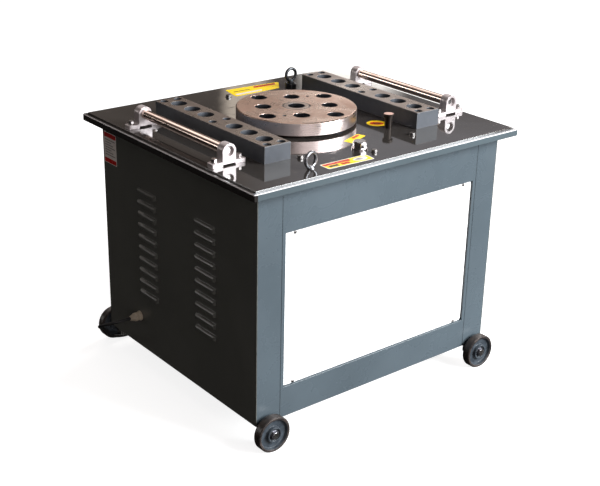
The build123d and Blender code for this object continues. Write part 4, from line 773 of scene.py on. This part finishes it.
def make_plug(plastic, dark, brass):
    """A round industrial plug: ribbed boot, gripped body, keyed collar and five pins."""
    def grip(height, radius, angle):
        if BOOT_RIBBED[0] < height < BOOT_RIBBED[1]:
            return radius * (1 + 0.03 * math.sin(BOOT_RIBS * angle))
        if GRIP_RIBBED[0] < height < GRIP_RIBBED[1]:
            return radius * (1 - 0.035 * max(0.0, math.sin(GRIP_RIBS * angle)))
        return radius

    frame_x = along_x(PLUG_PLACE)
    boot = revolve("plug_boot", [(0, 0.0045), (0, 0.0065), (0.003, 0.0078), (0.005, 0.009),
                                 (0.022, 0.0145), (0.025, 0.015), (0.0262, 0.0145),
                                 (0.0262, 0.006)], frame_x, 96, grip)
    body = revolve("plug_body", [(0.0262, 0.006), (0.0262, 0.0185), (0.0275, 0.0198),
                                 (0.029, 0.020), (0.032, 0.020), (0.068, 0.020), (0.071, 0.020),
                                 (0.0735, 0.0215), (0.0745, 0.0252), (0.0755, 0.026),
                                 (0.0805, 0.026), (0.082, 0.0252), (0.083, 0.0237),
                                 (0.084, 0.0235), (0.1112, 0.0235), (0.112, 0.0228),
                                 (0.112, 0.0212), (0.1112, 0.0205), (0.087, 0.0205),
                                 (0.0862, 0.0195), (0.0862, 0.004)], frame_x, 96, grip)
    key = plate("plug_key", rounded(((-0.0035, 0.084), (0.0035, 0.084), (0.0035, 0.110),
                                     (-0.0035, 0.110)), 0.0012), 0.0225, 0.0248,
                Matrix.Translation(PLUG_PLACE) @ Matrix(((0, 1, 0, 0), (1, 0, 0, 0), (0, 0, 1, 0),
                                                         (0, 0, 0, 1))))
    pins = []
    for step in range(PLUG_PINS):
        angle = 2 * math.pi * step / PLUG_PINS + 0.3
        radius = 0.003 if step else 0.0038
        foot = PLUG_PLACE + Vector((0, math.cos(angle), math.sin(angle))) * PIN_CIRCLE
        pins.append(revolve(f"plug_pin_{step + 1}", [
            (0.086, radius * 0.5), (0.086, radius), (0.104, radius), (0.107, radius * 0.8),
            (0.108, radius * 0.4)], along_x(foot), 24))
    finished(boot, dark)
    for piece in (body, key):
        finished(piece, plastic)
    for pin in pins:
        finished(pin, brass)
    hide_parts("power_plug")
    return [boot, body, key, *pins]


def make_coil_tie(nylon):
    """A strap round the coil that holds the turns together."""
    angle = TIE_ANGLE
    across = Vector((math.cos(angle), math.sin(angle), 0))
    inner, outer, low, high = 0.0335, 0.0685, 0.0004, 0.0177
    thick = 0.0009
    half = 0.0045
    side = Vector((-math.sin(angle), math.cos(angle), 0)) * half
    outside = rounded(((inner - thick, low - 0.0003), (outer + thick, low - 0.0003),
                       (outer + thick, high + thick), (inner - thick, high + thick)), 0.004)
    inside = rounded(((inner, low), (outer, low), (outer, high), (inner, high)), 0.0034)
    count = len(outside)
    points = []
    for offset in (-1, 1):
        for loop in (outside, inside):
            points += [COIL_CENTRE + across * u + Vector((0, 0, v)) + side * offset
                       for u, v in loop]
    faces = []
    for i in range(count):
        j = (i + 1) % count
        near_out, near_in, far_out, far_in = 0, count, 2 * count, 3 * count
        faces.append((near_out + i, near_out + j, near_in + j, near_in + i))
        faces.append((far_out + j, far_out + i, far_in + i, far_in + j))
        faces.append((near_out + j, near_out + i, far_out + i, far_out + j))
        faces.append((near_in + i, near_in + j, far_in + j, far_in + i))
    return finished(smooth(mesh_object("coil_tie", points, faces)), nylon)


def make_cord():
    rubber = moulded("lead_rubber", (0.012, 0.012, 0.013), 0.5, 0.0001, 0.35)
    nylon = moulded("gland_nylon", (0.42, 0.36, 0.28), 0.4)
    plastic = moulded("plug_red", (0.5, 0.035, 0.025), 0.38)
    dark = moulded("plug_black", (0.015, 0.015, 0.016), 0.5)
    brass = steel("pin_brass", (0.72, 0.55, 0.3), 0.28)
    lead = make_lead(rubber)
    pieces = [make_gland(nylon), *make_plug(plastic, dark, brass), make_coil_tie(dark)]


# ---- labels ---------------------------------------------------------------
LABEL_THICK = 0.0003
PRINT_STEP = 0.00004


def table_point(x, y):
    return (x / 1000, y / 1000)


def label(name, layers, place=Matrix.Identity(4)):
    """A printed label: each layer is an outline and a film, laid a little above the last."""
    for index, (outline, film) in enumerate(layers):
        low = 0.0 if index == 0 else LABEL_THICK + (index - 1) * PRINT_STEP
        high = LABEL_THICK + index * PRINT_STEP
        suffix = "_film" if index == 0 else f"_print_{index}"
        finished(plate(name + suffix, outline, low, high, place), film)


def within(corners, u0, v0, u1, v1):
    """A part of a four sided label: u runs from corner 1 to 2, and v from corner 1 to 4."""
    a, b, c, d = (Vector(p) for p in corners)

    def at(u, v):
        return (a * (1 - u) + b * u) * (1 - v) + (d * (1 - u) + c * u) * v
    return [tuple(at(u, v)) for u, v in ((u0, v0), (u1, v0), (u1, v1), (u0, v1))]


def make_labels():
    yellow = print_film("film_yellow", (0.95, 0.66, 0.0))
    red = print_film("film_red", (0.5, 0.015, 0.012))
    pale = print_film("film_pale", (0.75, 0.7, 0.66))
    grey = print_film("film_grey", (0.32, 0.3, 0.29))
    dark = print_film("film_dark", (0.05, 0.03, 0.02))
    on_table = Matrix.Translation((0, 0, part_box("table_cover")[1].z))

    front = [table_point(*p) for p in ((-189, -349), (-50, -353), (-47, -316), (-189, -314))]
    middle = within(front, 0.78, 0.5, 0.78, 0.5)[0]
    label("front_label", [
        (rounded(front, 0.004), pale),
        (rounded(within(front, 0.02, 0.07, 0.98, 0.93), 0.003), yellow),
        (rounded(within(front, 0.03, 0.58, 0.6, 0.9), 0.002), red),
        (rounded(within(front, 0.08, 0.2, 0.28, 0.5), 0.001), dark),
        (rounded(within(front, 0.34, 0.2, 0.52, 0.5), 0.001), red),
        (oval(middle, 0.021, 0.011, -0.03), pale),
        (oval(middle, 0.014, 0.0055, -0.03), grey),
    ], on_table)

    rear = [table_point(*p) for p in ((-4, 274), (151, 279), (190, 333), (9, 344))]
    label("rear_label", [
        (rounded(rear, 0.005), yellow),
        (rounded(within(rear, 0.5, 0.66, 0.93, 0.9), 0.002), red),
        (rounded(within(rear, 0.05, 0.12, 0.62, 0.3), 0.002), pale),
        (rounded(within(rear, 0.08, 0.55, 0.4, 0.62), 0.001), dark),
    ], on_table)

    plug = [table_point(*p) for p in ((-16, -232), (52, -205), (44, -182), (-24, -208))]
    label("filler_label", [
        (rounded(plug, 0.003), yellow),
        (rounded(within(plug, 0.45, 0.55, 0.92, 0.88), 0.0015), red),
    ], on_table)

    turn = math.atan2(-27, 38.5)
    centre = table_point(146, -142)
    label("round_label", [
        (oval(centre, 0.0285, 0.0275, turn), dark),
        (oval(centre, 0.0262, 0.0252, turn), yellow),
        (oval(centre, 0.0185, 0.0125, turn), red),
        (oval(centre, 0.0105, 0.0045, turn), dark),
    ], on_table)

    side_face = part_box("corner_posts")[0].x - 0.002
    on_side = Matrix(((0, 0, -1, side_face), (-1, 0, 0, 0), (0, 1, 0, 0), (0, 0, 0, 1)))
    sticker = [(-0.335, 0.552), (-0.272, 0.552), (-0.272, 0.637), (-0.335, 0.637)]
    rows = [(rounded(within(sticker, 0.1, v, 0.9 - 0.15 * (i % 3), v + 0.035), 0.0008), grey)
            for i, v in enumerate((0.26, 0.34, 0.42, 0.5, 0.58, 0.66, 0.74))]
    label("side_label", [
        (rounded(sticker, 0.003), pale),
        (rounded(within(sticker, 0.03, 0.84, 0.97, 0.98), 0.002), red),
        (rounded(within(sticker, 0.03, 0.02, 0.97, 0.16), 0.002), red),
        *rows,
    ], on_side)


# ---- looks of the CAD nodes -----------------------------------------------
def dress(material, *names):
    """Every slot of these nodes gets one material."""
    for name in names:
        slots = nodes[name].data.materials
        if not slots:
            slots.append(material)
        for index in range(len(slots)):
            slots[index] = material


def dress_nodes():
    paint = (0.072, 0.092, 0.106)
    dress(frame_enamel("frame_enamel", paint), "corner_posts", "frame_rails")
    dress(painted_sheet("sheet_enamel", paint, 0.26), "base_channels", "rear_panel", "motor_stand")
    side = painted_sheet("side_enamel", (0.1, 0.103, 0.094), 0.13, 0.5, 0.0001, 0.5, 0.1,
                         0.0022, 0.08)
    dress(side, "left_side_panel", "right_side_panel")
    dress(painted_sheet("panel_white", (0.86, 0.86, 0.85), 0.35, 0.5, 0.0002, 0.0, 0.02),
          "front_panel")
    dress(table_edge_enamel("table_edge_enamel"), "table_base")
    dress(table_enamel("table_enamel"), "table_cover")
    dress(socket_bar_steel("blued_bar_steel"), "left_socket_bar", "right_socket_bar")
    low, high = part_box("working_disc")
    centre = (low + high) / 2
    dress(turned_steel("disc_steel", centre, (0.88, 0.66, 0.54), (0.5, 0.31, 0.23), 0.27,
                       (0.0, 0.0366)), "working_disc")
    dress(turned_steel("spindle_steel", centre, (0.72, 0.62, 0.55), (0.45, 0.34, 0.28), 0.27,
                       (0.0342, 0.04)), "spindle")
    dress(steel("zinc_plate", (0.42, 0.39, 0.38), 0.3, grain_scale=260), "panel_screws",
          "bracket_bolts", "inner_bolts")
    dress(steel("axle_zinc", (0.2, 0.2, 0.22), 0.4, grain_scale=260), "axle_nuts")
    dress(steel("dull_zinc", (0.2, 0.19, 0.185), 0.34, grain_scale=260), "table_bolts")
    dress(steel("plug_chrome", (0.42, 0.4, 0.4), 0.2, grain_scale=160), "oil_filler_plug")
    dress(lifting_eye_steel("eye_steel"), "lifting_eyes")
    pin = steel("pin_steel", (0.03, 0.025, 0.022), 0.45, (1, 1, 60), 20, (0.01, 0.008, 0.007))
    dress(top_recolour(pin, (0.72, 0.5, 0.43)), "locating_pin")
    dress(steel("black_oxide_steel", (0.06, 0.06, 0.065), 0.4), "socket_bar_bolts")
    dress(moulded("screw_black", (0.008, 0.008, 0.008), 0.7, 0.0001, 0.2), "disc_screws")
    dress(casting("bracket_paint", (0.5, 0.45, 0.45), 0.36, 0.4, 0.0003, 0.3, 0.25),
          "left_roller_brackets", "right_roller_brackets")
    dress(steel("roller_steel", (0.78, 0.64, 0.57), 0.12, (60, 1, 60), 14, (0.5, 0.36, 0.29)),
          "left_roller", "right_roller")
    dress(steel("shaft_steel", (0.62, 0.61, 0.6), 0.25, (1, 1, 60), 20), "left_roller_shaft",
          "right_roller_shaft", "second_shaft", "input_shaft", "motor_shaft", "bearings",
          "wheel_axles")
    dress(steel("gear_cut_steel", (0.46, 0.44, 0.41), 0.3, grain_scale=500,
                stain=(0.2, 0.14, 0.07)), "bull_gear", "second_gear")
    dress(casting("case_paint", (0.1, 0.125, 0.14), 0.45), "gear_case", "gear_case_cover",
          "driven_pulley", "motor_pulley")
    dress(moulded("belt_fabric", (0.02, 0.02, 0.021), 0.7, 0.0004), "drive_belts")
    dress(casting("motor_enamel", (0.03, 0.1, 0.2), 0.35), "motor_body", "motor_fan_cover",
          "motor_terminal_box")
    dress(laminated("stator_sheets"), "motor_stator")
    dress(moulded("fan_moulding", (0.03, 0.03, 0.03), 0.5), "motor_fan")
    dress(painted_sheet("box_enamel", (0.5, 0.5, 0.46), 0.5, 0.4, 0.0006, 0.3, 0.05),
          "control_box")
    dress(wheel_paint("wheel_paint"), "wheel_front_left", "wheel_front_right",
          "wheel_rear_left", "wheel_rear_right")


# ---- the scene ------------------------------------------------------------
make_camera()
make_cord()
make_labels()
dress_nodes()
make_world()
make_floor()
make_lights()
bpy.context.scene.view_settings.view_transform = "Standard"
